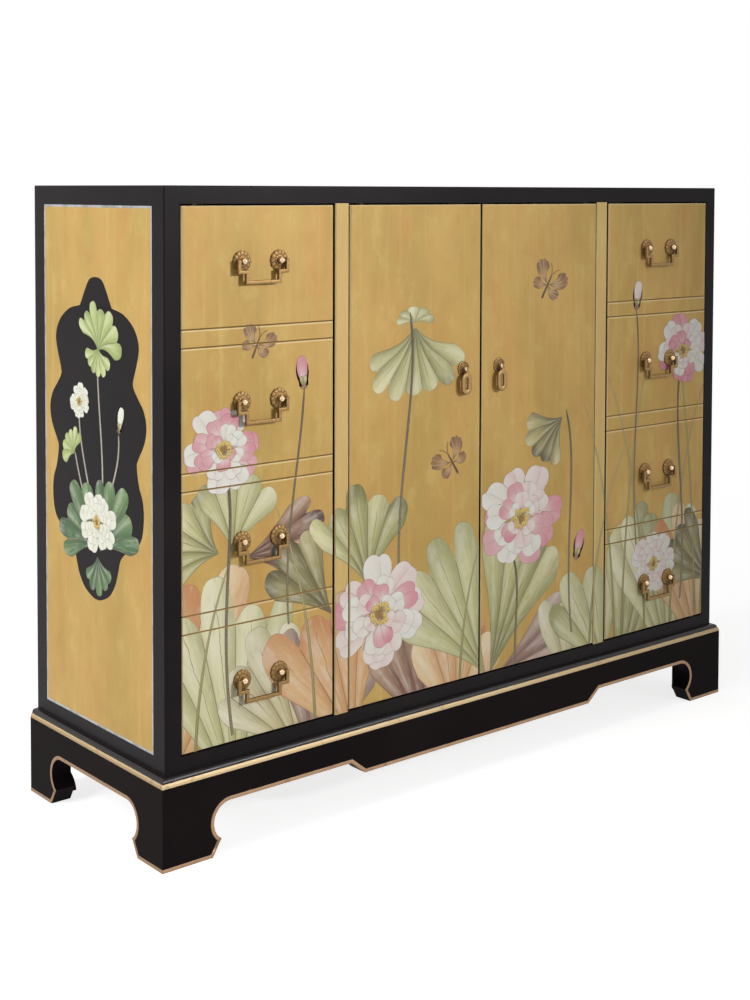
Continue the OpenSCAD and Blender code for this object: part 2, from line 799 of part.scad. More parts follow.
module drop(door) {
    neck_top = pull_ball_r + drop_neck_air;
    color(brass) translate([free_x(door, pull_edge), y_face - pull_standoff, pull_z]) {
        translate([0, drop_t / 2, 0]) rotate([90, 0, 0]) linear_extrude(drop_t) drop_outline();
        difference() {
            union() {
                translate([-tongue_w / 2, 0, 0]) rotate([0, 90, 0]) cylinder(r = eye_r, h = tongue_w);
                block([-tongue_w / 2, -drop_t / 2, -neck_top - eps], [tongue_w / 2, drop_t / 2, 0]);
            }
            translate([-tongue_w / 2 - eps, 0, 0]) rotate([0, 90, 0])
                cylinder(r = pull_pin_r + pin_clear, h = tongue_w + 2 * eps, $fn = 32);
        }
    }
}

// Turns a door's pieces about its pivot, by the angle that the doors are shown open
module swung(door) {
    p = [pivot_x(door), y_pivot, 0];
    translate(p) rotate([0, 0, door[2] * door_angle]) translate(-p) children();
}

color(lacquer) case_post(-1, false);  // left_front_post
color(lacquer) case_post(1, false);  // right_front_post
color(lacquer) case_post(-1, true);  // left_back_post
color(lacquer) case_post(1, true);  // right_back_post
front_top_rail();
back_top_rail();
side_top_rail(-1);  // left_top_rail
side_top_rail(1);  // right_top_rail
front_bottom_rail();
back_bottom_rail();
side_bottom_rail(-1);  // left_bottom_rail
side_bottom_rail(1);  // right_bottom_rail
top_panel();
bottom_panel();
side_panel(-1);  // left_side_panel
side_panel(1);  // right_side_panel
back_panel();
stile(-1);  // left_stile
stile(1);  // right_stile
partition(-1);  // left_partition
partition(1);  // right_partition
shelves(-x_side_in, -x_column - partition_t);  // left_shelves
shelves(-x_column, x_column);  // centre_shelves
shelves(x_column + partition_t, x_side_in);  // right_shelves
shelf_pins();
front_apron();
back_apron();
side_apron(-1);  // left_apron
side_apron(1);  // right_apron
base_moulding();
corner_blocks();
case_pivot_plates();
magnetic_catches();
swung(LEFT_OUTER) outer_door(LEFT_OUTER);  // left_outer_door
swung(LEFT_OUTER) door_pivot_plates(LEFT_OUTER);  // left_outer_pivot_plates
swung(LEFT_OUTER) strike(LEFT_OUTER);  // left_outer_strike
swung(LEFT_OUTER) bail_mounts(LEFT_OUTER);  // left_bail_mounts
swung(LEFT_INNER) inner_door(LEFT_INNER);  // left_inner_door
swung(LEFT_INNER) door_pivot_plates(LEFT_INNER);  // left_inner_pivot_plates
swung(LEFT_INNER) strike(LEFT_INNER);  // left_inner_strike
swung(LEFT_INNER) pull_mount(LEFT_INNER);  // left_pull_mount
swung(RIGHT_INNER) inner_door(RIGHT_INNER);  // right_inner_door
swung(RIGHT_INNER) door_pivot_plates(RIGHT_INNER);  // right_inner_pivot_plates
swung(RIGHT_INNER) strike(RIGHT_INNER);  // right_inner_strike
swung(RIGHT_INNER) pull_mount(RIGHT_INNER);  // right_pull_mount
swung(RIGHT_OUTER) outer_door(RIGHT_OUTER);  // right_outer_door
swung(RIGHT_OUTER) door_pivot_plates(RIGHT_OUTER);  // right_outer_pivot_plates
swung(RIGHT_OUTER) strike(RIGHT_OUTER);  // right_outer_strike
swung(RIGHT_OUTER) bail_mounts(RIGHT_OUTER);  // right_bail_mounts
swung(LEFT_OUTER) bail(LEFT_OUTER, 0);  // left_bail_1
swung(LEFT_OUTER) bail(LEFT_OUTER, 1);  // left_bail_2
swung(LEFT_OUTER) bail(LEFT_OUTER, 2);  // left_bail_3
swung(LEFT_OUTER) bail(LEFT_OUTER, 3);  // left_bail_4
swung(RIGHT_OUTER) bail(RIGHT_OUTER, 0);  // right_bail_1
swung(RIGHT_OUTER) bail(RIGHT_OUTER, 1);  // right_bail_2
swung(RIGHT_OUTER) bail(RIGHT_OUTER, 2);  // right_bail_3
swung(RIGHT_OUTER) bail(RIGHT_OUTER, 3);  // right_bail_4
swung(LEFT_INNER) drop(LEFT_INNER);  // left_drop
swung(RIGHT_INNER) drop(RIGHT_INNER);  // right_drop
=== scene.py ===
# %% [markdown]
# # A gilded four door cabinet
#
# The measured model of the cabinet comes in as a fixed frame of wooden parts. This notebook gives every
# part its finish, models the brass pulls with their relief, lays the gilt lines on the base and paints
# the doors. Everything is in metres, in the frame's own axes: X runs along the cabinet, Y towards its
# back and Z up. The sizes of the pieces are written in millimetres and turned into metres with MM.

# %% Load the measured model
import math
import bmesh
import bpy
import numpy as np
from mathutils import Matrix, Vector


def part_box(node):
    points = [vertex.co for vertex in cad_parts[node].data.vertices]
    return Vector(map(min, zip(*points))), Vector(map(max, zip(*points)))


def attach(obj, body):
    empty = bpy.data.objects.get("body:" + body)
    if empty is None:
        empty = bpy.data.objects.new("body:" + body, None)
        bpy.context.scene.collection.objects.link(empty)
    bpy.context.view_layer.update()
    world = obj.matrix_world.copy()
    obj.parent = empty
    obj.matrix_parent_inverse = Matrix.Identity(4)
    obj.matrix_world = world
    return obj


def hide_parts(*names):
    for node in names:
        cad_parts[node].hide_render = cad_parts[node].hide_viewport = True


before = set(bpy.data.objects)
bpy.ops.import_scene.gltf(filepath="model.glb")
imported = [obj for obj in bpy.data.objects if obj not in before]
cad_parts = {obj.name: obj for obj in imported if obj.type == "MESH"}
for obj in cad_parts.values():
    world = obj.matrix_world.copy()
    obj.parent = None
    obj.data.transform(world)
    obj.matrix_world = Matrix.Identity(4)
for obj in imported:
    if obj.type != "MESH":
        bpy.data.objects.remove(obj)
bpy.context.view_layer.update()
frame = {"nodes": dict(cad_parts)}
nodes = frame["nodes"]
MM = 0.001

# %% [markdown]
# ## Where things are
#
# A piece that sits on a wooden part should take its place from that part and not from a number typed
# twice. `span` reads a node's lowest and highest corner in millimetres, and the values that the later
# cells share are worked out here once.

# %% Places taken from the frame


def span(node):
    """The lowest and highest corner of a CAD node, in millimetres."""
    low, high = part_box(node)
    return np.array(low) / MM, np.array(high) / MM


DOORS = ("left_outer_door", "left_inner_door", "right_inner_door", "right_outer_door")
STILES = ("left_stile", "right_stile")
SIDES = ("left", "right")
door_low, door_high = span("left_outer_door")
face_y, door_top = door_low[1], door_high[2]
base_low, base_high = span("base_moulding")
apron_y = span("front_apron")[0][1]
side_x = span("left_side_panel")[0][0]
print("door face at y", round(face_y, 2), "doors from z", door_low[2], "to", door_top)

# %% [markdown]
# ## The camera
#
# The photograph was taken from the front left with the camera held almost level. Tall furniture is
# usually shot with the lens shifted down, so that upright edges stay upright, and Blender's camera has
# the same shift. The height of the horizon in the picture gives the shift, and the picture's height in
# pixels, with the focal length in the same pixels, gives the lens.

# %% Camera
PICTURE_ROWS = 1000
FOCAL_ROWS = 1545.5
CENTRE_ROW = 258.1
SENSOR = 36.0
camera_place = (-1.6951, -1.9438, 0.9236)
camera_yaw, camera_pitch, camera_roll = 39.862, 2.5, 0.163


def aim(yaw, pitch, roll):
    """Axes of a camera that looks yaw degrees from +Y towards +X and pitch degrees down, rolled by roll."""
    yaw, pitch, roll = (math.radians(angle) for angle in (yaw, pitch, roll))
    forward = np.array([math.sin(yaw) * math.cos(pitch), math.cos(yaw) * math.cos(pitch), -math.sin(pitch)])
    level = np.array([math.cos(yaw), -math.sin(yaw), 0.0])
    right = level * math.cos(roll) + np.cross(level, forward) * math.sin(roll)
    up = np.cross(right, forward)
    return Matrix(np.stack([right, up, -forward], axis=1).tolist())


lens = bpy.data.cameras.new("camera")
lens.sensor_fit = "VERTICAL"
lens.sensor_height = SENSOR
lens.lens = FOCAL_ROWS / PICTURE_ROWS * SENSOR
lens.shift_y = (CENTRE_ROW - PICTURE_ROWS / 2) / PICTURE_ROWS
camera = bpy.data.objects.new("camera", lens)
camera.matrix_world = Matrix.Translation(camera_place) @ aim(camera_yaw, camera_pitch, camera_roll).to_4x4()
bpy.context.scene.collection.objects.link(camera)
bpy.context.scene.camera = camera
bpy.context.scene.view_settings.view_transform = "Standard"
print("lens", round(lens.lens, 2), "mm, shift", round(lens.shift_y, 4))

# %% [markdown]
# ## Soft studio light
#
# Three area lamps stand where a photographer would put softboxes. The front one is small and narrow and
# stands far out at the right: it points at the near end of the front, so that the gold grows darker
# towards the far end, and the brass pulls throw a short shadow on the doors. The large one on the left
# lights the side, and a weak one overhead lights the top board. The power is chosen so that a colour
# renders about as it is written.

# %% Lamps


def softbox(name, place, target, width, height, power, spread=180):
    """A rectangular lamp at place that points at target; a smaller spread is a grid on its front."""
    lamp = bpy.data.lights.new(name, "AREA")
    lamp.shape = "RECTANGLE"
    lamp.size = width
    lamp.size_y = height
    lamp.energy = power
    lamp.spread = math.radians(spread)
    holder = bpy.data.objects.new(name, lamp)
    holder.location = place
    direction = Vector(target) - Vector(place)
    holder.rotation_euler = direction.to_track_quat("-Z", "Y").to_euler()
    bpy.context.scene.collection.objects.link(holder)


softbox("front_softbox", (1.5, -3.0, 1.6), (-0.92, -0.18, 0.45), 0.4, 0.45, power=6.1, spread=49)
softbox("left_softbox", (-2.9, 0.2, 1.6), (-0.6, -0.1, 0.6), 1.1, 1.4, power=54)
softbox("top_softbox", (-0.3, -0.4, 3.0), (0.0, 0.0, 0.9), 1.6, 1.2, power=10)
print(len(bpy.data.lights), "softboxes")

# %% [markdown]
# ## Shader arithmetic in Python
#
# Materials are node trees, and a tree built by hand is hard to read. `Wire` holds one output of a node
# and overloads the operators, so that `1 - mask` adds a Math node. `Nodes` holds a tree. Its method
# `make` adds any node: its settings come first, because some of them change which sockets the node has,
# and then each socket gets a value or a link. `Finish` is the tree of one material, with the few groups
# of nodes that most finishes share.

# %% Wires


class Wire:
    """One output socket of a node, on which sums can be written."""

    def __init__(self, nodes, socket):
        self.nodes = nodes
        self.socket = socket

    def __add__(self, other):
        return self.nodes.math("ADD", self, other)

    __radd__ = __add__

    def __sub__(self, other):
        return self.nodes.math("SUBTRACT", self, other)

    def __rsub__(self, other):
        return self.nodes.math("SUBTRACT", other, self)

    def __mul__(self, other):
        return self.nodes.math("MULTIPLY", self, other)

    __rmul__ = __mul__

    def __abs__(self):
        return self.nodes.math("ABSOLUTE", self)

    def least(self, other):
        """The smaller of two values."""
        return self.nodes.math("MINIMUM", self, other)

    def most(self, other):
        """The larger of two values."""
        return self.nodes.math("MAXIMUM", self, other)

    def part(self):
        """What is left of a value without its whole number."""
        return self.nodes.math("FRACT", self)

    def rise(self, low, high):
        """0 below low, 1 above high, and an S curve between them."""
        settings = {"interpolation_type": "SMOOTHSTEP"}
        sockets = {"Value": self, "From Min": low, "From Max": high}
        return self.nodes.make("ShaderNodeMapRange", settings, sockets)

    def between(self, low, high):
        """A value from 0 to 1, spread to run from low to high."""
        return self * (high - low) + low

    def beside(self, output):
        """Another output of the same node."""
        return Wire(self.nodes, self.socket.node.outputs[output])


def seen(red, green, blue):
    """A colour as the eye reads it, 0 to 255, turned by the sRGB curve into a shader's light."""
    levels = np.array([red, green, blue]) / 255
    return tuple(np.where(levels <= 0.04045, levels / 12.92, ((levels + 0.055) / 1.055) ** 2.4).tolist())


print("a middle grey sends", round(seen(128, 128, 128)[0], 3), "of the light")

# %% Node trees


class Nodes:
    """A node tree that starts empty."""

    def __init__(self, tree):
        self.tree = tree
        tree.nodes.clear()

    def make(self, kind, settings, sockets, output=0):
        """Adds a node of a kind, sets its settings and then its sockets, and gives one output as a Wire."""
        node = self.tree.nodes.new(kind)
        for key, value in settings.items():
            setattr(node, key, value)
        for key, value in sockets.items():
            if isinstance(value, Wire):
                self.tree.links.new(value.socket, node.inputs[key])
            else:
                node.inputs[key].default_value = value
        return Wire(self, node.outputs[output]) if len(node.outputs) else None

    def math(self, operation, first, second=0.0):
        """A Math node on two values."""
        return self.make("ShaderNodeMath", {"operation": operation}, {0: first, 1: second})

    def shows(self):
        """1 where the camera, a gloss or a glass looks, and 0 for the light that spreads."""
        camera = self.make("ShaderNodeLightPath", {}, {}, "Is Camera Ray")
        return camera.most(camera.beside("Is Glossy Ray")).most(camera.beside("Is Transmission Ray"))


class Finish(Nodes):
    """A material and its nodes; plain is its colour in Blender's solid view."""

    def __init__(self, name, plain):
        self.material = bpy.data.materials.new(name)
        self.material.use_nodes = True
        self.material.diffuse_color = (*plain, 1)
        super().__init__(self.material.node_tree)
        self.place = self.make("ShaderNodeTexCoord", {}, {}, "Object")

    def mix(self, factor, first, second):
        """Colours first and second, mixed by factor."""
        first, second = (c if isinstance(c, Wire) else (*c, 1) for c in (first, second))
        settings = {"data_type": "RGBA", "clamp_factor": True}
        return self.make("ShaderNodeMix", settings, {0: factor, 6: first, 7: second}, 2)

    def layered(self, colour, *layers):
        """A colour with tones laid over it in turn, each given as its share and its tone."""
        for share, tone in layers:
            colour = self.mix(share, colour, tone)
        return colour

    def parts(self, vector):
        """The three numbers of a vector."""
        split = self.make("ShaderNodeSeparateXYZ", {}, {"Vector": vector})
        return [split.beside(k) for k in range(3)]

    def axes(self):
        """X, Y and Z of the object's own coordinates."""
        return self.parts(self.place)

    def carried(self, name, output):
        """A value that the mesh carries at its points."""
        return self.make("ShaderNodeAttribute", {"attribute_name": name}, {}, output)

    def cloud(self, size, stretch=(1, 1, 1), detail=3.0, rough=0.5):
        """Noise from 0 to 1 with lumps of about size metres, longer along the axes that stretch names."""
        scale = [1 / (size * s) for s in stretch]
        spot = self.make("ShaderNodeMapping", {}, {"Vector": self.place, "Scale": scale})
        sockets = {"Vector": spot, "Scale": 1.0, "Detail": detail, "Roughness": rough}
        return self.make("ShaderNodeTexNoise", {}, sockets)

    def bump(self, height, depth):
        """A normal that follows height, from 0 to 1, as if it stood depth metres proud."""
        return self.make("ShaderNodeBump", {}, {"Distance": depth, "Height": height})

    def done(self, sockets):
        """Ends the material in a Principled shader with these sockets."""
        shader = self.make("ShaderNodeBsdfPrincipled", {}, sockets)
        self.make("ShaderNodeOutputMaterial", {}, {"Surface": shader})
        print("finish", self.material.name, "has", len(self.tree.nodes), "nodes")
        return self.material


print("a finish has", ", ".join(name for name in vars(Finish) if not name.startswith("_")))

# %% [markdown]
# ## Floor and background
#
# The catalogue picture is cut out on white. The world is plain white for the camera, for gloss and for
# glass, and a quieter grey for the light that it throws, so the background doesn't flood the cabinet.
# The floor is half lit and half glowing near the cabinet, which keeps a soft shadow, and turns wholly
# white further out, so that no horizon shows.

# %% World
AMBIENT = 0.25
WHITE_GLOW = 1.0
world = bpy.data.worlds.new("studio")
world.use_nodes = True
bpy.context.scene.world = world
air = Nodes(world.node_tree)
sky = air.make("ShaderNodeBackground", {}, {
    "Color": (1, 1, 1, 1),
    "Strength": air.shows().between(AMBIENT, WHITE_GLOW),
})
air.make("ShaderNodeOutputWorld", {}, {"Surface": sky})
print("world lights at", AMBIENT)

# %% Floor
FLOOR_GREY = 0.5
FLOOR_GLOW = 0.80
FADE_FROM, FADE_TO = 1.1, 2.8
FLOOR_HALF = 6.0


def studio_floor():
    """Half paint and half glow near the cabinet, all glow where the floor meets the background."""
    f = Finish("studio_floor", (1, 1, 1))
    distance = f.make("ShaderNodeVectorMath", {"operation": "LENGTH"}, {0: f.place}, "Value")
    far = distance.rise(FADE_FROM, FADE_TO)
    paint = f.make("ShaderNodeBsdfDiffuse", {}, {"Color": (FLOOR_GREY, FLOOR_GREY, FLOOR_GREY, 1)})
    strength = f.shows() * far.between(FLOOR_GLOW, WHITE_GLOW)
    glow = f.make("ShaderNodeEmission", {}, {"Strength": strength})
    dark = f.make("ShaderNodeMixShader", {}, {0: far, 1: paint})
    both = f.make("ShaderNodeAddShader", {}, {0: dark, 1: glow})
    f.make("ShaderNodeOutputMaterial", {}, {"Surface": both})
    return f.material


floor_mesh = bpy.data.meshes.new("floor")
corners = np.array([[-1, -1, 0], [1, -1, 0], [1, 1, 0], [-1, 1, 0]]) * FLOOR_HALF
floor_mesh.from_pydata(corners.tolist(), [], [(0, 1, 2, 3)])
floor_mesh.materials.append(studio_floor())
floor = bpy.data.objects.new("floor", floor_mesh)
bpy.context.scene.collection.objects.link(floor)
print("floor", 2 * FLOOR_HALF, "m wide")

# %% [markdown]
# ## Black lacquer
#
# The carcass and the base are sprayed with a satin black lacquer. Real lacquer is never one black: the
# film is a little thicker here and there, a cloth has rubbed it along the boards, and dust sits in it.
# A wide cloud warms the colour and changes the gloss, a fine one follows the cloth, and a bump gives the
# film its skin. The base is darker and duller than the carcass. The face of the top board is rubbed matt
# with use, and a mask on the height keeps that wear to the face.

# %% Black lacquer
LACQUER, LACQUER_WARM = seen(24, 19, 21), seen(32, 26, 27)
BASE_LACQUER, BASE_WARM = seen(23, 18, 19), seen(29, 23, 23)
DUST = seen(120, 112, 108)
TOP_FACE = span("top_panel")[1][2] * MM
TOP_MATT = 0.28


def black_lacquer(name, deep, warm, gloss, rough):
    """Satin black with a rubbed film; the highest face is rougher by TOP_MATT."""
    f = Finish(name, deep)
    film = f.cloud(0.11, detail=4)
    skin = f.cloud(0.0011, detail=2)
    rubbed = f.cloud(0.004, stretch=(18, 18, 1), detail=2)
    dust = f.cloud(0.0006, detail=1).rise(0.74, 0.8)
    dulled = f.axes()[2].rise(TOP_FACE - 0.5 * MM, TOP_FACE - 0.1 * MM)
    return f.done({
        "Base Color": f.layered(deep, (film.rise(0.35, 0.75), warm), (dust * 0.16, DUST)),
        "Roughness": film.between(rough, rough + 0.12) + rubbed * 0.07 + dulled * TOP_MATT,
        "Specular IOR Level": gloss,
        "Normal": f.bump(skin * 0.7 + rubbed * 0.3, 0.06 * MM),
    })


LACQUERED = [name for name in nodes if name.endswith(("_post", "_rail", "top_panel"))]
APRONS = [name for name in nodes if name.endswith("_apron")]
lacquer = black_lacquer("black_lacquer", LACQUER, LACQUER_WARM, 0.08, 0.27)
base_lacquer = black_lacquer("base_lacquer", BASE_LACQUER, BASE_WARM, 0.03, 0.46)


def dress(names, material):
    """Gives CAD nodes a material in place of their plain one."""
    for name in names:
        slots = nodes[name].data.materials
        slots.clear()
        slots.append(material)
    print(material.name, "on", len(names), "nodes")


dress(LACQUERED, lacquer)
dress([*APRONS, "corner_blocks"], base_lacquer)

# %% [markdown]
# ## Gold leaf
#
# Sheets of leaf are laid on the doors, stiles and side panels and then toned and brushed downwards, so
# the gold has soft upright streaks and patches that lean to green or to amber. A painted highlight, a
# pale rim, lies where the leaf turns over the eased edge of the board, and past it the board is black.
# The stiles are rubbed paler. Along each groove of the outer doors lies a brown line of painted shade,
# and below it a pale line of painted highlight. The same function serves the doors and the sides: it is
# told how deep a point lies behind the gilded face.

# %% Tones of the leaf
LEAF_YELLOW = seen(205, 168, 95)
LEAF_AMBER = seen(208, 159, 91)
LEAF_OLIVE = seen(192, 159, 87)
LEAF_OCHRE = seen(186, 140, 72)
LEAF_STRAW = seen(222, 198, 122)
LEAF_PALE = seen(226, 194, 122)
LEAF_WORN = seen(232, 208, 142)
LEAF_UMBER = seen(158, 122, 62)
LEAF_SPECK = seen(120, 86, 44)
# pale tone of the painted highlights, on the eased edges and below the grooves
LEAF_EDGE_HIGHLIGHT = seen(255, 236, 188)
# brown of the painted shade in the grooves
GROOVE_PAINTED_SHADE = seen(124, 92, 22)
EDGE_DEPTH = 2.3 * MM
GROOVE_W = 2.4
# offset in mm, strength and tone: the painted highlight below each groove, then the painted shade in it
GROOVE_SHADE_AND_HIGHLIGHT = ((-2.1, 0.45, LEAF_EDGE_HIGHLIGHT), (0.1, 0.85, GROOVE_PAINTED_SHADE))
TOP_FIELD, FIELD, PAIR = 168.5, 171.0, 25.3
groove_z = [door_top - TOP_FIELD - i * (FIELD + PAIR) - k * PAIR for i in range(3) for k in range(2)]
print("grooves at z", [round(z, 1) for z in groove_z])

# %% Gold leaf


def shade_and_light_grooves(f, colour, heights):
    """A line of each tone along every groove, moved up or down by the tone's own offset: a painted shade in
    the groove and a painted highlight just below it. It is full within 0.30 of a groove's width from its
    middle and fades out by 0.56."""
    for up, strength, tone in GROOVE_SHADE_AND_HIGHLIGHT:
        height = f.axes()[2] - up * MM
        near = abs(height - heights[0] * MM)
        for z in heights[1:]:
            near = near.least(abs(height - z * MM))
        line = 1 - near.rise(GROOVE_W * 0.30 * MM, GROOVE_W * 0.56 * MM)
        colour = f.mix(line * strength, colour, tone)
    return colour


def gold_leaf(name, depth_of, grooves=(), pale=0.0):
    """Toned leaf with upright brush marks and a painted highlight on the eased edge; depth_of gives the
    depth behind the gilded face.
    """
    f = Finish(name, LEAF_YELLOW)
    depth = depth_of(f)
    patches = f.cloud(0.10, stretch=(1, 1, 2.6), detail=2)
    warm = f.cloud(0.05, stretch=(0.8, 0.8, 3.4))
    mottle = f.cloud(0.034, stretch=(1, 1, 1.5), detail=5, rough=0.6)
    strokes = f.cloud(0.011, stretch=(1, 1, 26))
    brushed = f.cloud(0.0016, stretch=(1, 1, 70), rough=0.7)
    specks = f.cloud(0.0009, detail=2)
    colour = f.layered(
        LEAF_YELLOW,
        (patches.rise(0.38, 0.66), LEAF_OLIVE),
        (warm.rise(0.42, 0.76) * 0.55, LEAF_AMBER),
        (mottle.rise(0.50, 0.70) * 0.28, LEAF_OCHRE),
        (mottle.rise(0.48, 0.30) * 0.30, LEAF_STRAW),
        (strokes.rise(0.5, 0.78) * 0.26, LEAF_PALE),
        (pale, LEAF_WORN),
        (brushed.rise(0.5, 0.85) * 0.24, LEAF_UMBER),
        (specks.rise(0.72, 0.8) * 0.2, LEAF_SPECK),
        # painted highlight: a pale rim on the eased edge where the leaf turns over
        (depth.rise(0.05 * MM, 0.6 * MM) * 0.7, LEAF_EDGE_HIGHLIGHT),
    )
    if grooves:
        # painted shade in the grooves and a painted highlight below each
        colour = shade_and_light_grooves(f, colour, grooves)
    past_edge = depth.rise(EDGE_DEPTH * 0.9, EDGE_DEPTH)
    return f.done({
        "Base Color": f.mix(past_edge, colour, LACQUER),
        "Metallic": (1 - past_edge) * 0.16,
        "Roughness": brushed.between(0.40, 0.56) + patches * 0.06,
        "Specular IOR Level": 0.3,
        "Normal": f.bump(brushed * 0.6 + strokes * 0.4, 0.05 * MM),
    })


def behind_front(f):
    """Depth behind the doors' face."""
    return f.axes()[1] - face_y * MM


def behind_side(f):
    """Depth behind the outer face of either side panel."""
    return -side_x * MM - abs(f.axes()[0])


dress(["left_outer_door", "right_outer_door"], gold_leaf("gold_leaf_grooved", behind_front, groove_z))
dress(["left_inner_door", "right_inner_door"], gold_leaf("gold_leaf", behind_front))
dress(STILES, gold_leaf("gold_leaf_stile", behind_front, pale=0.34))
dress(["left_side_panel", "right_side_panel"], gold_leaf("gold_leaf_side", behind_side))

# %% [markdown]
# ## The moulding's gilded band
#
# The moulding round the base is one strip of wood: its lower step is gilded and its bead above is black.
# A painter masks the edge between them, so a mask on the height gives a crisp line with a slight waver.
# Along the sides the gold is a darker, duller brown.

# %% Gilded moulding
BAND_TOP = base_low[2] + 6.0
SIDE_RUN = -base_low[0]
BAND_GOLD, BAND_PALE = seen(198, 170, 124), seen(222, 196, 152)
BAND_WORN, BAND_SIDE = seen(146, 116, 78), seen(142, 112, 80)


def gilded_moulding():
    """Gold below the step, black lacquer above it."""
    f = Finish("gilded_moulding", LEAF_YELLOW)
    along, _, height = f.axes()
    waver = f.cloud(0.02, detail=2).between(-0.3 * MM, 0.3 * MM)
    gold = 1 - (height + waver).rise((BAND_TOP - 0.3) * MM, (BAND_TOP + 0.1) * MM)
    grain = f.cloud(0.0012, stretch=(40, 40, 1))
    worn = f.cloud(0.018, detail=4).rise(0.60, 0.72)
    on_side = abs(along).rise((SIDE_RUN - 2) * MM, SIDE_RUN * MM)
    tone = f.layered(BAND_GOLD, (grain, BAND_PALE), (worn * 0.4, BAND_WORN), (on_side * 0.6, BAND_SIDE))
    return f.done({
        "Base Color": f.mix(gold, LACQUER, tone),
        "Metallic": gold * 0.2,
        "Roughness": grain.between(0.30, 0.38) + gold * 0.14,
        "Specular IOR Level": 0.35,
        "Normal": f.bump(grain, 0.04 * MM),
    })


dress(["base_moulding"], gilded_moulding())

# %% [markdown]
# ## Inside wood, steel and plastic
#
# What the doors hide is plain furniture work: veneered boards with the grain along their length, bright
# steel pins and plates, and catches of brown plastic. Grain is noise stretched thirty times along the
# board, sharpened into dark lines.

# %% Inside wood
VENEER, VENEER_GRAIN = seen(141, 101, 66), seen(104, 70, 42)
VENEER_FIGURE, VENEER_PORE = seen(168, 122, 80), seen(62, 40, 24)
STAINED, STAINED_GRAIN, STAINED_PORE = seen(66, 49, 39), seen(44, 33, 28), seen(26, 20, 17)


def inside_wood():
    """Brown veneer with its grain along X."""
    f = Finish("inside_wood", seen(128, 92, 60))
    grain = f.cloud(0.0045, stretch=(34, 1, 1), detail=5, rough=0.65)
    pores = f.cloud(0.0009, stretch=(26, 1, 1), detail=2).rise(0.60, 0.74)
    figure = f.cloud(0.05, stretch=(5, 1, 1), detail=2)
    return f.done({
        "Base Color": f.layered(
            VENEER,
            (grain.rise(0.32, 0.68), VENEER_GRAIN),
            (figure * 0.35, VENEER_FIGURE),
            (pores * 0.6, VENEER_PORE),
        ),
        "Roughness": grain.between(0.42, 0.62),
        "Normal": f.bump(grain * 0.4 - pores, 0.08 * MM),
    })


def back_board():
    """Thin board, stained dark, with coarse upright grain."""
    f = Finish("back_board", seen(58, 44, 36))
    grain = f.cloud(0.007, stretch=(1, 1, 30), detail=5, rough=0.6)
    pores = f.cloud(0.0012, stretch=(1, 1, 24), detail=2).rise(0.58, 0.72)
    return f.done({
        "Base Color": f.layered(
            STAINED,
            (grain.rise(0.35, 0.68), STAINED_GRAIN),
            (pores * 0.55, STAINED_PORE),
        ),
        "Roughness": grain.between(0.5, 0.66),
        "Normal": f.bump(grain - pores, 0.1 * MM),
    })


BOARDS = ["bottom_panel", "left_partition", "right_partition", "left_shelves", "centre_shelves",
          "right_shelves"]
dress(BOARDS, inside_wood())
dress(["back_panel"], back_board())

# %% Steel and plastic
STEEL_BRIGHT, STEEL_DULL = seen(186, 188, 190), seen(138, 134, 122)
PLASTIC, PLASTIC_FLOW = seen(88, 60, 41), seen(72, 48, 33)


def brushed_steel():
    """Zinc plated steel with fine scratches and a little tarnish."""
    f = Finish("steel", seen(170, 172, 174))
    scratch = f.cloud(0.0004, stretch=(20, 1, 1))
    tarnish = f.cloud(0.006, detail=4).rise(0.5, 0.75)
    return f.done({
        "Base Color": f.mix(tarnish * 0.5, STEEL_BRIGHT, STEEL_DULL),
        "Metallic": 1.0,
        "Roughness": scratch.between(0.22, 0.42),
        "Normal": f.bump(scratch, 0.02 * MM),
    })


def moulded_plastic():
    """Brown plastic with the fine sparkle of a moulded skin."""
    f = Finish("catch_plastic", seen(84, 58, 40))
    skin = f.cloud(0.0005, detail=2)
    flow = f.cloud(0.01, detail=2)
    return f.done({
        "Base Color": f.mix(flow, PLASTIC, PLASTIC_FLOW),
        "Roughness": skin.between(0.38, 0.55),
        "Normal": f.bump(skin, 0.03 * MM),
    })


STEEL = [name for name in nodes if name.endswith(("_strike", "shelf_pins"))]
dress(STEEL, brushed_steel())
dress(["magnetic_catches"], moulded_plastic())

# %% [markdown]
# ## Antique brass
#
# The pulls and hinge plates are cast brass, darkened and then wiped, so that the high places shine and
# the hollows stay brown. On the pulls an attribute called `relief` says how high a point stands, and it
# drives colour and roughness together: it is 1 on the ball tips, polished and given a painted highlight.
# The plates of the drop pulls are a deeper brass. The flat hinge plates have no relief, so clouds alone
# tone them.

# %% Antique brass
BRASS_BRIGHT = seen(170, 140, 90)
BRASS_DARK = seen(112, 82, 44)
BRASS_DEEP = seen(84, 58, 28)
BRASS_TIP_HIGHLIGHT = seen(232, 204, 164)
BRASS_SPOT = seen(112, 88, 58)
PLATE_BROWN, PLATE_WORN = seen(44, 32, 22), seen(96, 74, 48)


def antique_brass(name, wiped, dark, bright_tone):
    """Darkened brass; wiped gives how much a place was rubbed bright, from 0 to 1, and the highest places
    are polished tips with a painted highlight.
    """
    f = Finish(name, dark)
    patina = f.cloud(0.004, detail=4)
    fine = f.cloud(0.0007, detail=2)
    wear = wiped(f)
    bright = (wear * 1.1 + patina * 0.5 - 0.35).rise(0.0, 0.85)
    # the ball tips: polished, and brightened further by a painted highlight
    tip = wear.rise(0.88, 0.98)
    spots = fine.rise(0.6, 0.8) * 0.3
    return f.done({
        "Base Color": f.layered(dark, (bright, bright_tone), (tip, BRASS_TIP_HIGHLIGHT), (spots, BRASS_SPOT)),
        "Metallic": 0.75,
        "Roughness": (1 - bright).between(0.30, 0.58) + fine * 0.08 - tip * 0.12,
        "Normal": f.bump(patina * 0.5 + fine * 0.5, 0.06 * MM),
    })


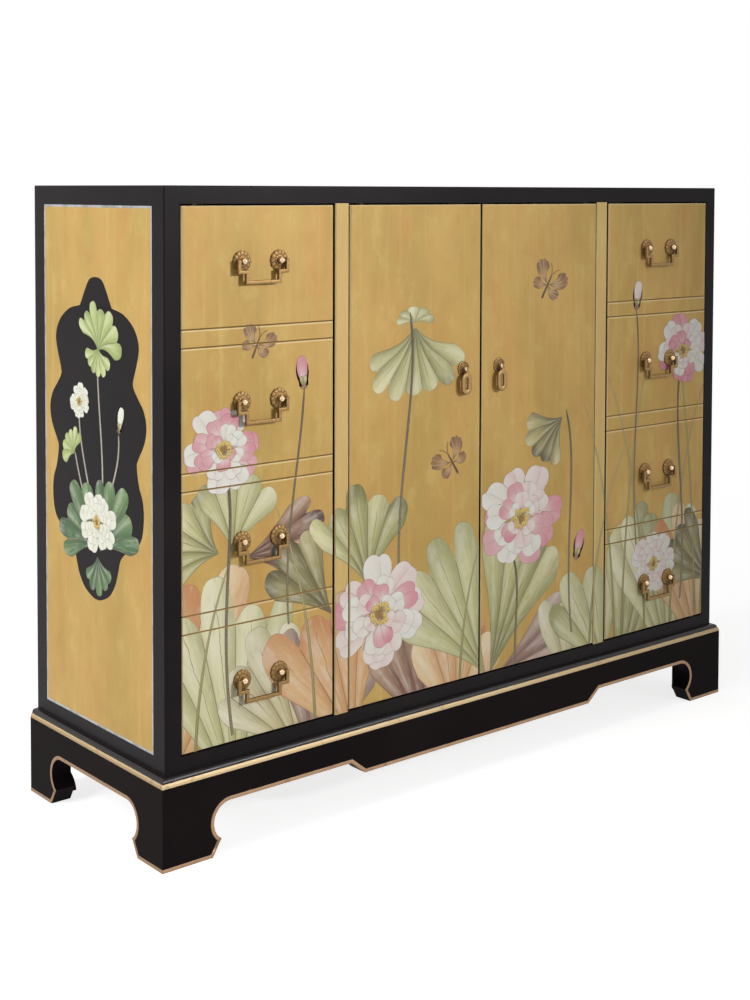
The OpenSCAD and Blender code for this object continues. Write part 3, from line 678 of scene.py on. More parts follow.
def by_relief(f):
    """How high a point stands in the casting."""
    return f.carried("relief", "Fac")


def by_clouds(f):
    """Wear that comes and goes over a flat plate."""
    return f.cloud(0.012)


brass = antique_brass("antique_brass", by_relief, BRASS_DARK, BRASS_BRIGHT)
deep_brass = antique_brass("deep_brass", by_relief, BRASS_DEEP, BRASS_BRIGHT)
PLATES = [name for name in nodes if name.endswith("_pivot_plates")]
dress(PLATES, antique_brass("plate_brass", by_clouds, PLATE_BROWN, PLATE_WORN))

# %% [markdown]
# ## Making a mesh from a grid
#
# Every new shape below is a surface of two parameters, worked out as whole arrays on a grid of rows and
# columns. `quads` numbers the faces of such a grid, and `new_mesh` puts points, faces and attributes into
# a mesh. `place` makes the mesh an object with a finish and lets it ride on a body. A casting is one or
# more grids in one mesh: `cast` joins them, merges the points that coincide at seams and poles, turns the
# faces outwards, and puts the piece in the place of its plain CAD node.

# %% Grids and pieces
WELD = 0.01 * MM
SPECK = 0.001 * MM


def quads(rows, columns, round_rows=False, round_columns=False):
    """Corner numbers of the faces of a grid; a round direction joins its last line to its first."""
    row = np.arange(rows if round_rows else rows - 1)[:, None]
    column = np.arange(columns if round_columns else columns - 1)[None, :]
    next_row = (row + 1) % rows
    next_column = (column + 1) % columns
    corners = [row * columns + column, row * columns + next_column,
               next_row * columns + next_column, next_row * columns + column]
    return np.stack(np.broadcast_arrays(*corners), axis=-1).reshape(-1, 4)


def new_mesh(name, points, faces, values):
    """A mesh of points in millimetres, with attributes given as name: (kind, array)."""
    mesh = bpy.data.meshes.new(name)
    mesh.from_pydata((points * MM).tolist(), [], faces.tolist())
    for key, (kind, array) in values.items():
        attribute = mesh.attributes.new(key, kind, "POINT")
        field = {"FLOAT": "value", "FLOAT_VECTOR": "vector", "FLOAT_COLOR": "color"}[kind]
        attribute.data.foreach_set(field, np.ascontiguousarray(array, dtype=np.float32).ravel())
    return mesh


def place(mesh, material, body, slot, replaced=()):
    """Makes an object of a mesh, gives it a material and lets it ride on a body."""
    mesh.materials.append(material)
    mesh.shade_smooth()
    thing = bpy.data.objects.new(mesh.name, mesh)
    bpy.context.scene.collection.objects.link(thing)
    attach(thing, body)
    if replaced:
        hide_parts(*replaced)
    print(mesh.name, "has", len(mesh.polygons), "faces and rides on", body)


def grid(points, relief, round_rows=False):
    """A grid of points, round in its columns, as a list of points, their faces and their relief."""
    relief = np.broadcast_to(relief, points.shape[:2])
    return points.reshape(-1, 3), quads(*points.shape[:2], round_rows, True), relief.ravel()


def cast(name, grids, material, body, replaced):
    """A closed brass piece made of grids, in place of one CAD node."""
    shift = np.cumsum([0] + [len(points) for points, _, _ in grids[:-1]])
    points = np.concatenate([points for points, _, _ in grids])
    faces = np.concatenate([faces + s for (_, faces, _), s in zip(grids, shift)])
    relief = np.concatenate([relief for _, _, relief in grids])
    mesh = new_mesh(name, points, faces, {"relief": ("FLOAT", relief)})
    work = bmesh.new()
    work.from_mesh(mesh)
    bmesh.ops.remove_doubles(work, verts=work.verts, dist=WELD)
    bmesh.ops.dissolve_degenerate(work, edges=work.edges, dist=SPECK)
    bmesh.ops.recalc_face_normals(work, faces=work.faces)
    work.to_mesh(mesh)
    work.free()
    place(mesh, material, body, "antique_brass", [replaced])
    return mesh


print("a grid of 3 by 4 points has", len(quads(3, 4)), "faces")

# %% [markdown]
# ## Rosettes of the swing pulls
#
# Each swing pull hangs from two posts, and each post stands on a cast rosette like a chrysanthemum: a
# scalloped rim, two rings of petals and a bright ball at the end. Such a casting is a turned profile
# whose radius and height also wave with the angle, so it is one grid: rows run along the profile from
# the back's centre to the tip of the ball, and columns run round it.

# %% Turned shapes


def turns(count):
    """Angles once round, without the last."""
    return np.linspace(0, 2 * math.pi, count, endpoint=False)


def eased(value, power):
    """|value|^power with the value's sign, which squares up the cosine and sine of a circle."""
    return np.abs(value) ** power * np.sign(value)


def bulge(value, at, wide):
    """A bump 1 high where the value is at: exp(-((value - at) / wide)^2)."""
    return np.exp(-((value - at) / wide) ** 2)


def ball_profile(neck, ball, reach, steps):
    """Radius and height along a ball, from where a neck meets it to its tip."""
    angle = np.linspace(math.asin(neck / ball), math.pi, steps)
    return np.stack([ball * np.sin(angle), reach - ball * np.cos(angle)], axis=1)


def turned(x, z, radius, height, relief):
    """Radius and height over profile and angle, stood on the doors' face at x, z."""
    angle = turns(radius.shape[1])
    points = np.stack([x + radius * np.cos(angle), face_y - height, z + radius * np.sin(angle)], axis=-1)
    return grid(points, relief)


print("a ball's profile ends at", ball_profile(1, 2, 5, 9)[-1].round(3).tolist())

# %% Rosette grid
ROSETTE_R, ROSETTE_T, PETALS = 15.0, 3.0, 12
POST_R, STANDOFF, BALL_R = 2.8, 7.5, 4.5
SCALLOP, PETAL_RISE, PETAL_SINK = 0.075, 0.36, 0.12


def rosette(x, z):
    """Turned profile with petals. Near the rim the radius shrinks by SCALLOP (1 - |cos 6a|^0.6). The height
    gains PETAL_RISE |cos 6a|^0.6 on the outer ring of petals and |sin 6a|^0.6 on the inner one."""
    flat = np.array([[0, 0], [0.5, 0], [0.96, 0], [1.0, 0.15], [1.0, 0.62]]) * [ROSETTE_R, ROSETTE_T]
    q = np.linspace(0.985, 0.22, 34)
    dome = np.stack([q * ROSETTE_R, ROSETTE_T * (0.66 + 0.74 * np.clip(1 - q, 0, 1) ** 0.8)], axis=1)
    post = np.array([[POST_R * 1.15, ROSETTE_T * 1.5], [POST_R, ROSETTE_T * 1.62]])
    profile = np.concatenate([flat, dome, post, ball_profile(POST_R, BALL_R, STANDOFF, 16)])
    share = profile[:, 0:1] / ROSETTE_R
    on_dome = np.zeros((len(profile), 1))
    on_dome[len(flat):len(flat) + len(dome)] = 1
    outer = on_dome * np.clip(np.sin((share - 0.60) / 0.40 * math.pi), 0, 1) ** 0.7
    inner = on_dome * np.clip(np.sin((share - 0.26) / 0.34 * math.pi), 0, 1) ** 0.7
    angle = turns(PETALS * 12)
    lobes = np.abs(np.cos(PETALS / 2 * angle)) ** 0.6
    between = np.abs(np.sin(PETALS / 2 * angle)) ** 0.6
    wave = outer * lobes + inner * between
    radius = profile[:, 0:1] * (1 - SCALLOP * (1 - lobes) * (share > 0.62) * share ** 2)
    height = profile[:, 1:2] + PETAL_RISE * wave - PETAL_SINK * on_dome
    tip = profile[:, 1:2] > ROSETTE_T * 1.6
    return turned(x, z, radius, height, np.clip(wave * 0.34 + tip + 0.14, 0, 1))


print("one rosette has", len(rosette(0, 0)[1]), "faces")

# %% Rosettes on the doors
POSTS = 64.0
BAR = 5.2
ROWS = range(1, 5)


def middle(node):
    """The middle of a CAD node's box, in millimetres."""
    low, high = span(node)
    return (low + high) / 2


bail_height = {i: span(f"left_bail_{i}")[1][2] - BAR / 2 for i in ROWS}
for side in SIDES:
    x = middle(f"{side}_bail_1")[0]
    grids = [rosette(x + s * POSTS / 2, bail_height[i]) for i in ROWS for s in (-1, 1)]
    cast(f"{side}_rosettes", grids, brass, f"{side}_outer_door", f"{side}_bail_mounts")

# %% [markdown]
# ## Square swing pulls
#
# A swing pull is a flat square bar bent into a stepped bracket, filed to a slight ease along its edges.
# It is a rounded square carried along a line with sharp corners. At each corner the section is turned to
# the halfway direction and widened, as a mitre is, and a short row on each side keeps the bend crisp.

# %% Bars along a line
BAIL_OUTER, BAIL_INNER, BAIL_STEP, BAIL_DROP = 82.8, 56.0, 15.0, 29.5
BAR_EASE, PIN_R, PIN_SHORT = 0.7, 1.5, 1.5
SHARP = math.radians(35)


def rounded_square(half, corner, steps=5):
    """Points round a square with eased corners, as (across, deep)."""
    turn = np.linspace(0, math.pi / 2, steps)
    arc = np.stack([np.cos(turn), np.sin(turn)], axis=1) * corner + (half - corner)
    spins = [np.array([[math.cos(k), math.sin(k)], [-math.sin(k), math.cos(k)]]) for k in turns(4)]
    return np.concatenate([arc @ spin for spin in spins])


def mitred(path):
    """Unit step and left normal of each run of a path, and the widened halfway normal of each corner."""
    step = np.diff(path, axis=0)
    step /= np.linalg.norm(step, axis=1)[:, None]
    normal = np.stack([-step[:, 1], step[:, 0]], axis=1)
    mitre = normal[:-1] + normal[1:]
    mitre /= (mitre * normal[1:]).sum(axis=1)[:, None]
    return step, normal, mitre


def capped(points):
    """The rows of a tube, with the middles of its first and last rows as its ends."""
    ends = [np.repeat(points[k].mean(axis=0)[None, None], points.shape[1], axis=1) for k in (0, -1)]
    return np.concatenate([ends[0], points, ends[1]])


def bar_along(path, section, ease=0.5):
    """Section carried along a flat path in X and Z: p + n w across + y deep, mitred at each corner."""
    path = np.array(path, float)
    step, normal, mitre = mitred(path)
    rows = [path[0], path[0] + step[0] * ease]
    widths = [normal[0], normal[0]]
    for i in range(1, len(path) - 1):
        rows += [path[i] - step[i - 1] * BAR / 2, path[i], path[i] + step[i] * BAR / 2]
        widths += [normal[i - 1], mitre[i - 1], normal[i]]
    rows = np.array([*rows, path[-1] - step[-1] * ease, path[-1]])
    widths = np.array([*widths, normal[-1], normal[-1]])
    size = np.ones((len(rows), 1))
    size[[0, -1]] = 0.86
    across = section[None, :, 0] * size
    x = rows[:, 0:1] + widths[:, 0:1] * across
    z = rows[:, 1:2] + widths[:, 1:2] * across
    return capped(np.stack([x, section[None, :, 1] * size, z], axis=-1))


def bail(x, z):
    """The bent bar and its two pins, with the pull's pivot at x, z. Relief grows towards front and back."""
    outer, inner = BAIL_OUTER / 2, BAIL_INNER / 2
    half = [(outer, BAR / 2), (outer, -BAIL_STEP), (inner, -BAIL_STEP), (inner, -BAIL_DROP)]
    bars = [bar_along([(-u, v) for u, v in half] + half[::-1], rounded_square(BAR / 2, BAR_EASE))]
    pin = np.stack([np.cos(turns(20)), np.sin(turns(20))], axis=1) * PIN_R
    for s in (-1, 1):
        bars.append(bar_along([(s * outer, 0), (s * (POSTS / 2 + PIN_SHORT), 0)], pin, ease=0.4))
    centre = [x, face_y - STANDOFF, z]
    return [grid(points + centre, 0.2 + 0.25 * np.clip(np.abs(points[..., 1]) / (BAR / 2), 0, 1))
            for points in bars]


for side in SIDES:
    for i in ROWS:
        node = f"{side}_bail_{i}"
        mesh = cast(f"{node}_bar", bail(middle(node)[0], bail_height[i]), brass, node, node)
        mesh.set_sharp_from_angle(angle=SHARP)

# %% [markdown]
# ## Drop pulls
#
# Each inner door has a small drop pull: a domed round plate, a post with a ball that is sawn open at the
# front, and a long oval drop with a slot, hung in the saw cut. The plate, post and ball are one turned
# profile, and where the saw has passed, the front of the ball is pushed back to the depth of the cut.
# The drop is a ring: a cushion shaped section carried round between the slot's edge and the outer oval.

# %% Plate of a drop pull
PLATE_R, DOME_H, PULL_STANDOFF, PULL_BALL = 12.0, 3.2, 7.5, 4.3
SAW_W, SAW_FLOOR = 3.6, 4.8


def pull_mount(x, z):
    """Turned profile r(q), h(q) with a rolled rim, then the ball; the slot |x| < w / 2 ends at one depth."""
    q = np.linspace(1, 0.32, 20)
    rim = np.array([[0, 0], [0.5, 0], [1.0, 0], [1.0, 0.28]]) * [PLATE_R, 2.0]
    dome = np.stack([q * PLATE_R, 0.8 + 2.6 * np.sqrt(np.clip(1 - q ** 2, 0, 1))], axis=1)
    dome[:, 1] += 0.45 * bulge(q, 0.93, 0.035) + 0.5 * bulge(q, 0.5, 0.05)
    neck = np.array([[POST_R, DOME_H + 0.6]])
    profile = np.concatenate([rim, dome, neck, ball_profile(POST_R, PULL_BALL, PULL_STANDOFF, 22)])
    angle = turns(120)
    radius = profile[:, 0:1] + np.zeros_like(angle)
    height = profile[:, 1:2] + np.zeros_like(angle)
    sawn = (np.abs(radius * np.cos(angle)) < SAW_W / 2) & (height > SAW_FLOOR)
    floor_r = math.sqrt(PULL_BALL ** 2 - (PULL_STANDOFF - SAW_FLOOR) ** 2)
    relief = np.clip((height - 0.6) / 7, 0.05, 1) * np.where(sawn, 0.1, 1.0)
    relief = np.clip(relief + 0.6 * bulge(radius / PLATE_R, 0.93, 0.05), 0, 1)
    radius = np.where(sawn, np.minimum(radius, floor_r), radius)
    return turned(x, z, radius, np.where(sawn, SAW_FLOOR, height), relief)


print("one pull plate has", len(pull_mount(0, 0)[1]), "faces")

# %% The drop
DROP_R, DROP_UPPER, DROP_LOWER, DROP_T, SLOT_W = 10.5, 16.6, 30.5, 4.4, 4.6
TONGUE_TOP, NECK_TOP, NECK_END, NECK_HALF, NECK_SWELL = 1.9, 5.3, 10.4, 1.5, 6.4
OFF_SEAM = 0.0001


def oval(radius, turn):
    """An upright slot shape: two half circles joined by straight sides."""
    x = radius * np.cos(turn)
    z = radius * np.sin(turn) - np.where(np.sin(turn) > 0, DROP_UPPER, DROP_LOWER)
    return np.stack([x, z], axis=-1)


def drop_ring(steps=96, around=22):
    """Section between slot and oval: middle + half cos(b) outwards, and a flattened sin(b) for the depth."""
    turn = turns(steps) + OFF_SEAM
    inner, outer = oval(SLOT_W / 2, turn), oval(DROP_R, turn)
    centre, half = (inner + outer) / 2, (outer - inner) / 2
    b = turns(around)
    flat = centre[:, None, :] + half[:, None, :] * eased(np.cos(b), 0.75)[None, :, None]
    deep = eased(np.sin(b), 0.62) * DROP_T / 2
    return np.stack([flat[..., 0], deep + np.zeros((steps, 1)), flat[..., 1]], axis=-1), b


def drop_neck(rows=18, around=28):
    """A tongue that widens down into the oval: half width w(z), an eased rectangle as its section."""
    s = np.linspace(0, 1, rows)[:, None]
    z = -TONGUE_TOP - s * (NECK_END - TONGUE_TOP)
    wide = NECK_HALF + np.clip((-z - NECK_TOP) / (NECK_END - NECK_TOP), 0, 1) ** 1.15 * NECK_SWELL
    deep = np.interp(s, [0, 0.25, 1], [1.7, 2.1, 1.75])
    b = turns(around)
    x = wide * eased(np.cos(b), 0.5)
    return capped(np.stack([x, deep * eased(np.sin(b), 0.6), z + np.zeros_like(x)], axis=-1)), b


for side in SIDES:
    x = middle(f"{side}_drop")[0]
    z = middle(f"{side}_pull_mount")[2]
    hung = [x, face_y - PULL_STANDOFF, z]
    (ring, ring_b), (neck, neck_b) = drop_ring(), drop_neck()
    grids = [grid(ring + hung, 0.15 + 0.45 * np.abs(np.sin(ring_b)), round_rows=True),
             grid(neck + hung, 0.20 + 0.35 * np.abs(np.sin(neck_b)))]
    plate = f"{side}_pull_mount"
    cast(f"{side}_pull_plate", [pull_mount(x, z)], deep_brass, f"{side}_inner_door", plate)
    cast(f"{side}_drop_ring", grids, brass, f"{side}_drop", f"{side}_drop")

# %% [markdown]
# ## Gilt lines on the base
#
# A painter's line of bronze gold follows the lower edge of the front and side aprons: along the sole of
# each bracket foot, round the toe and the hollow above it, and along the edge between the feet. It could
# be a texture, but a raised ribbon keeps its edge sharp at any distance. The edge is a chain of straight
# runs and one arc, a second chain lies a line's width inside it, and the ribbon swells between the two.
# On the sides the line is darker.

# %% Edge of an apron
APRON_EDGE, DROP_EDGE, DROP_HALF, DROP_STEP = 74.5, 54.0, 246.0, 26.0
TOE_OUT, TOE_Z, HOLLOW_R, HOLLOW_Z = 14.5, 24.0, 27.5, 47.0
HOLLOW_IN = math.sqrt(HOLLOW_R ** 2 - (HOLLOW_Z - TOE_Z) ** 2)
FRONT_FOOT, SIDE_FOOT = 81.5, 65.0
GILT_W = 5.2
GILT, GILT_PALE, GILT_DARK = seen(168, 132, 98), seen(194, 156, 120), seen(104, 80, 56)


def lower_edge(length, foot, dropped):
    """The lower edge from one end to the other: sole, toe, hollow, straight run, and the same back."""
    centre = foot + TOE_OUT + HOLLOW_IN
    start = math.atan2(TOE_Z - HOLLOW_Z, -HOLLOW_IN) + 2 * math.pi
    turn = np.linspace(start, math.pi / 2, 40)
    hollow = np.stack([centre + HOLLOW_R * np.cos(turn), HOLLOW_Z + HOLLOW_R * np.sin(turn)], axis=1)
    half = [[0, 0], [foot, 0], *hollow.tolist()]
    if dropped:
        half += [[length / 2 - DROP_HALF - DROP_STEP, APRON_EDGE], [length / 2 - DROP_HALF, DROP_EDGE]]
    half = np.array(half)
    back = half[::-1] * [-1, 1] + [length, 0]
    return np.concatenate([half, back])


def inset(path, distance):
    """The path moved to its left by distance, with mitred corners."""
    _, normal, mitre = mitred(path)
    return path + distance * np.concatenate([normal[:1], mitre, normal[-1:]])


def gilt_line(name, least_dark):
    """Bronze gold paint, brushed along the line, with darker patches; the second argument is the least share
    of the darker tone, higher on the sides.
    """
    f = Finish(name, seen(178, 142, 106))
    brushed = f.cloud(0.0012, stretch=(22, 22, 3))
    dark_share = f.cloud(0.014, detail=4).rise(0.52, 0.74).between(least_dark, 0.5)
    return f.done({
        "Base Color": f.layered(GILT, (brushed, GILT_PALE), (dark_share, GILT_DARK)),
        "Metallic": 0.35,
        "Roughness": brushed.between(0.36, 0.52),
        "Normal": f.bump(brushed, 0.05 * MM),
    })


gilt = gilt_line("gilt_line", 0.0)
side_gilt = gilt_line("side_gilt_line", 0.34)

# %% Gilt lines in place
LINE_H = 0.35
SKIN = 0.02


def stand(flat, proud, origin, along, outward):
    """Lays a flat grid in a standing plane: origin + u along + v up + proud outward."""
    u, v = flat[..., 0:1], flat[..., 1:2]
    return origin + u * np.array(along) + v * np.array([0, 0, 1]) + proud[..., None] * np.array(outward)


def lay_ribbon(name, edge, inner, plane, material, slot):
    """p(c) = edge + c (inner - edge), LINE_H sin(pi c)^0.35 proud, as an object that rides on the case."""
    c = np.linspace(0, 1, 7)
    flat = edge[:, None, :] + (inner - edge)[:, None, :] * c[None, :, None]
    proud = SKIN + LINE_H * np.clip(np.sin(math.pi * c), 0, 1) ** 0.35
    points = stand(flat, proud + np.zeros((len(edge), 1)), *plane)
    mesh = new_mesh(name, points.reshape(-1, 3), quads(len(edge), len(c))[:, ::-1], {})
    place(mesh, material, "root", slot)


TO_FRONT = ((1, 0, 0), (0, -1, 0))
TO_LEFT = ((0, -1, 0), (-1, 0, 0))
TO_RIGHT = ((0, 1, 0), (1, 0, 0))
front_edge = lower_edge(base_high[0] - base_low[0], FRONT_FOOT, True)
side_edge = lower_edge(base_high[1] - base_low[1], SIDE_FOOT, False)
for side, edge, material, plane in (
    ("front", front_edge, gilt, ((base_low[0], apron_y, 0), *TO_FRONT)),
    ("left", side_edge, side_gilt, ((base_low[0], base_high[1], 0), *TO_LEFT)),
    ("right", side_edge, side_gilt, ((base_high[0], base_low[1], 0), *TO_RIGHT)),
):
    lay_ribbon(f"{side}_gilt_line", edge, inset(edge, GILT_W), plane, material, "gilded_moulding")

# %% [markdown]
# ## Silver line round the side panels
#
# A thin silvery line separates the gold of each side panel from the black frame. It is the same ribbon,
# run round the panel's edge and closed at the corner where it starts.

# %% Silver lines
LINE_W = 3.4
SILVER, SILVER_RUBBED = seen(186, 189, 194), seen(152, 152, 152)
CORNERS = np.array([[-1, -1], [1, -1], [1, 1], [-1, 1], [-1, -1]])


def silver_line():
    """Grey silver paint, rubbed in places."""
    f = Finish("silver_line", seen(176, 178, 182))
    rub = f.cloud(0.02)
    return f.done({
        "Base Color": f.mix(rub.rise(0.4, 0.7), SILVER, SILVER_RUBBED),
        "Metallic": 0.5,
        "Roughness": rub.between(0.32, 0.5),
        "Normal": f.bump(rub, 0.05 * MM),
    })


silver = silver_line()
front_y, back_y = span("left_front_post")[1][1], span("left_back_post")[0][1]
low_z, high_z = span("left_bottom_rail")[1][2], span("left_top_rail")[0][2]
mid_y, mid_z = (front_y + back_y) / 2, (low_z + high_z) / 2
edge = CORNERS * [(back_y - front_y) / 2, (high_z - low_z) / 2] + [0, mid_z]
SIDE_PLANES = {"left": ((side_x, mid_y, 0), *TO_LEFT), "right": ((-side_x, mid_y, 0), *TO_RIGHT)}
for side, plane in SIDE_PLANES.items():
    lay_ribbon(f"{side}_silver_line", edge, edge - CORNERS * LINE_W, plane, silver, "gold_leaf")

# %% [markdown]
# ## Painted shapes
#
# The decoration is brushed on in thin lacquer paint: fan shaped leaves in sage, cream, peach and umber,
# white and pink peonies, thin stems, blades of grass and butterflies. Drawn as a picture file it would
# blur up close, so each leaf, petal and stroke is its own flat grid. Every point carries two colours,
# `paint` and `shade`, and two sets of numbers that the material turns into folds, veins, bristle marks
# and outlines: `brush` holds where the point lies across the folds, along the stroke and from its edge,
# and `fold` holds how strong the folds are, how wide one is, and how speckled the paint is.

# %% Colours and one painted shape


def palette(core, body, rim, shade):
    """Four colours of a shape: at its base, over its middle, at its far edge, and in its folds."""
    return [np.array(seen(*colour)) for colour in (core, body, rim, shade)]


SAGE = palette((128, 126, 74), (200, 198, 136), (242, 234, 180), (130, 128, 78))
MINT = palette((166, 164, 106), (222, 220, 162), (246, 240, 200), (164, 162, 108))
MOSS = palette((106, 98, 60), (160, 152, 98), (218, 206, 150), (94, 86, 54))
CREAM = palette((196, 176, 118), (226, 214, 166), (242, 236, 206), (168, 158, 112))
PEACH = palette((210, 164, 102), (236, 196, 140), (246, 222, 178), (208, 146, 96))
RUSSET = palette((150, 96, 66), (196, 124, 88), (222, 160, 116), (128, 70, 50))
UMBER = palette((110, 74, 56), (160, 116, 94), (206, 172, 140), (88, 58, 50))
MAUVE = palette((132, 96, 86), (182, 148, 130), (222, 202, 180), (104, 76, 74))
PINK = palette((206, 122, 130), (244, 222, 214), (247, 238, 230), (228, 178, 178))
TIPPED = palette((222, 172, 160), (246, 234, 226), (226, 146, 160), (234, 190, 188))
BLUSH = palette((196, 104, 118), (240, 206, 202), (224, 144, 158), (212, 142, 150))
WHITE = palette((214, 180, 150), (245, 239, 226), (249, 246, 238), (224, 208, 190))
POLLEN = palette((206, 160, 60), (240, 206, 104), (246, 222, 140), (190, 140, 50))
WING = palette((104, 72, 44), (214, 176, 118), (128, 88, 52), (160, 118, 72))


def blend(first, second, share):
    """Colours first and second mixed by an array of shares."""
    return first + (second - first) * np.asarray(share)[..., None]


def smooth(value):
    """0 below 0, 1 above 1, and an S curve between."""
    value = np.clip(value, 0, 1)
    return value * value * (3 - 2 * value)


def listed(*grids):
    """Grids of colours or numbers, side by side, with one row for each point."""
    together = np.concatenate(grids, axis=-1)
    return together.reshape(-1, together.shape[-1])


def shape(u, v, paint, shade, brush, fold):
    """One painted shape from grids with the same rows and columns."""
    opaque = np.ones((*u.shape, 1))
    brush, fold = (np.stack(np.broadcast_arrays(u, *values)[1:], axis=-1) for values in (brush, fold))
    return {
        "flat": listed(u[..., None], v[..., None]),
        "faces": quads(*u.shape),
        "paint": listed(paint, opaque),
        "shade": listed(shade, opaque),
        "brush": listed(brush),
        "fold": listed(fold),
    }


print("leaf tones from", SAGE[0].round(2).tolist(), "to", SAGE[2].round(2).tolist())

# %% [markdown]
# A leaf, a petal and a butterfly's wing are the same fan with other numbers: `t` runs from the base to
# the far edge and `s` from one side to the other. Along `s` the fan is divided into lobes of uneven
# width. Each lobe has a rounded end, a length and a tint of its own, as if it were one wide stroke of the
# brush.

# %% Fans


def fan(at, heading, length, spread, colours, lobes=5, round_by=0.16, uneven=0.10, bow=0, flare=0.6,
        corner=0.10, seed=0, lean=1.0, depth=1.0, grid=(20, 11)):
    """A point lies at length t (1 + t^1.5 e) from the base, where e is the lobe's own share less round_by
    |2w - 1|^3 and corner |s|^3, and w runs 0 to 1 across a lobe. Its direction is heading + spread s."""
    chance = np.random.default_rng(seed)
    own, tint = chance.uniform(-1, 1, lobes) * uneven, chance.uniform(0, 1, lobes)
    skew = chance.uniform(-0.13, 0.13, 2)
    t = np.linspace(0.02, 1, grid[0])[:, None]
    s = np.linspace(-1, 1, grid[1] * lobes + 1)[None, :]
    across = (s + (skew[0] + skew[1] * s) * (1 - s ** 2) + 1) * lobes / 2
    number = np.clip(np.floor(across).astype(int), 0, lobes - 1)
    away = np.abs(2 * (across - number) - 1)
    edge = own[number] * (1 - away ** 4) - round_by * away ** 3 - corner * np.abs(s) ** 3
    reach = length * t * (1 + t ** 1.5 * edge)
    wide = math.radians(spread) * (flare + (1 - flare) * np.sin(math.pi * t / 2))
    turn = math.radians(heading) + wide * s + math.radians(bow) * t ** 2
    u = at[0] + reach * np.sin(turn)
    v = at[1] + reach * np.cos(turn) * lean
    core, body, rim, shade = colours
    own_tint = tint[number] * depth
    paint = blend(core, body, smooth(t / 0.5) + 0 * s)
    paint = blend(paint, rim, smooth((t - 0.3) / 0.6) * (1 - 0.7 * own_tint))
    tip = smooth((t - 0.72) / 0.28) * smooth((own_tint - 0.55) / 0.3)
    paint = blend(paint, shade, np.clip(0.30 * own_tint + 0.75 * tip, 0, 1))
    folded = blend(core * 0.85, shade, smooth(t / 0.6) + 0 * s)
    from_edge = np.minimum((1 - t) * length + 0 * s, (1 - np.abs(s)) * wide * reach)
    lobe_width = 2 * wide * reach / lobes
    return shape(u, v, paint, folded, (across + 0.001, reach, from_edge), (depth, lobe_width, 0))


def drawn_path(points, steps):
    """A curve from a to d that b and c pull on, with its unit direction: p(t) is (1-t)^3 of a,
    3 (1-t)^2 t of b, 3 (1-t) t^2 of c and t^3 of d."""
    a, b, c, d = np.array(points, float)
    t = np.linspace(0, 1, steps)[:, None]
    path = (1 - t) ** 3 * a + 3 * (1 - t) ** 2 * t * b + 3 * (1 - t) * t ** 2 * c + t ** 3 * d
    way = np.gradient(path, axis=0)
    return path, way / np.linalg.norm(way, axis=1)[:, None], t[:, 0]


def stroke(points, width, start, end, tip=0.0, speckle=0.0, steps=60):
    """A brush stroke along a drawn path, of half width width / 2 (1 - tip + tip sqrt(1 - t))."""
    path, way, t = drawn_path(points, steps)
    side = np.stack([way[:, 1], -way[:, 0]], axis=1)
    half = width / 2 * (tip * np.sqrt(np.clip(1 - t, 0.002, 1)) + (1 - tip)) * smooth(t * 12 + 0.35)
    c = np.linspace(-1, 1, 5)
    u = path[:, 0:1] + side[:, 0:1] * half[:, None] * c
    v = path[:, 1:2] + side[:, 1:2] * half[:, None] * c
    start, end = np.array(seen(*start)), np.array(seen(*end))
    paint = blend(start, end, t[:, None] + 0 * c)
    length = np.concatenate([[0], np.cumsum(np.linalg.norm(np.diff(path, axis=0), axis=1))])
    from_edge = (1 - np.abs(c))[None, :] * half[:, None]
    brush = (c[None, :] * 0.5 + 0.5, length[:, None], from_edge)
    return shape(u, v, paint, paint * 0.55, brush, (0.35, 4.0, speckle))


print("one leaf has", len(fan((0, 0), 0, 10, 30, SAGE)["faces"]), "faces")

# %% [markdown]
# A peony is four rings of petals, laid from the outside in. Each petal is a fan of two lobes. Each ring is
# shorter and more upright than the one before, and its petals take a slightly different turn and length,
# from a random generator with a fixed seed, so the flower is never perfectly regular and always the same.
# A tuft of stamens closes it.

# %% Peonies, buds and butterflies
PETAL_LEAN = 0.9
STAMEN, STAMEN_TIP = (186, 140, 56), (220, 180, 84)
BODY_DARK, BODY_PALE, FEELER = (84, 56, 36), (120, 84, 52), (80, 56, 36)


def peony(at, size, seed, colours=(TIPPED, WHITE)):
    """Each ring has its count of petals, their length and spread, and how far out they start."""
    chance = np.random.default_rng(seed)
    shapes = []
    rings = ((9, 1.0, 27, 0.10), (8, 0.78, 29, 0.08), (6, 0.58, 34, 0.05), (4, 0.40, 40, 0.02))
    for ring, (count, reach, spread, out) in enumerate(rings):
        for k in range(count):
            turn = (k + 0.5 * (ring % 2)) * 360 / count + chance.uniform(-8, 8)
            length = size * reach * chance.uniform(0.86, 1.08)
            base = (at[0] + size * out * math.sin(math.radians(turn)),
                    at[1] + size * out * math.cos(math.radians(turn)) * PETAL_LEAN)
            tint = colours[int(chance.integers(0, len(colours)))]
            shapes.append(fan(base, turn, length, spread, tint, lobes=2, round_by=0.05, uneven=0.05,
                              flare=0.28, corner=0.34, seed=int(chance.integers(0, 10 ** 6)),
                              lean=PETAL_LEAN, bow=chance.uniform(-10, 10), depth=0.42, grid=(12, 9)))
    for k in range(13):
        turn = math.radians(k * 360 / 13 + chance.uniform(-9, 9))
        reach = size * chance.uniform(0.13, 0.22)
        tip = (at[0] + reach * math.sin(turn), at[1] + reach * math.cos(turn) * PETAL_LEAN)
        line = [at, (at[0], at[1] + 1), tip, tip]
        shapes.append(stroke(line, size * 0.016 + 0.4, STAMEN, STAMEN_TIP, steps=8))
        shapes.append(fan((tip[0], tip[1] - size * 0.02), 0, size * 0.05 + 0.6, 150, POLLEN, lobes=1,
                          round_by=0, flare=1, corner=0, depth=0.1, grid=(4, 14)))
    return shapes


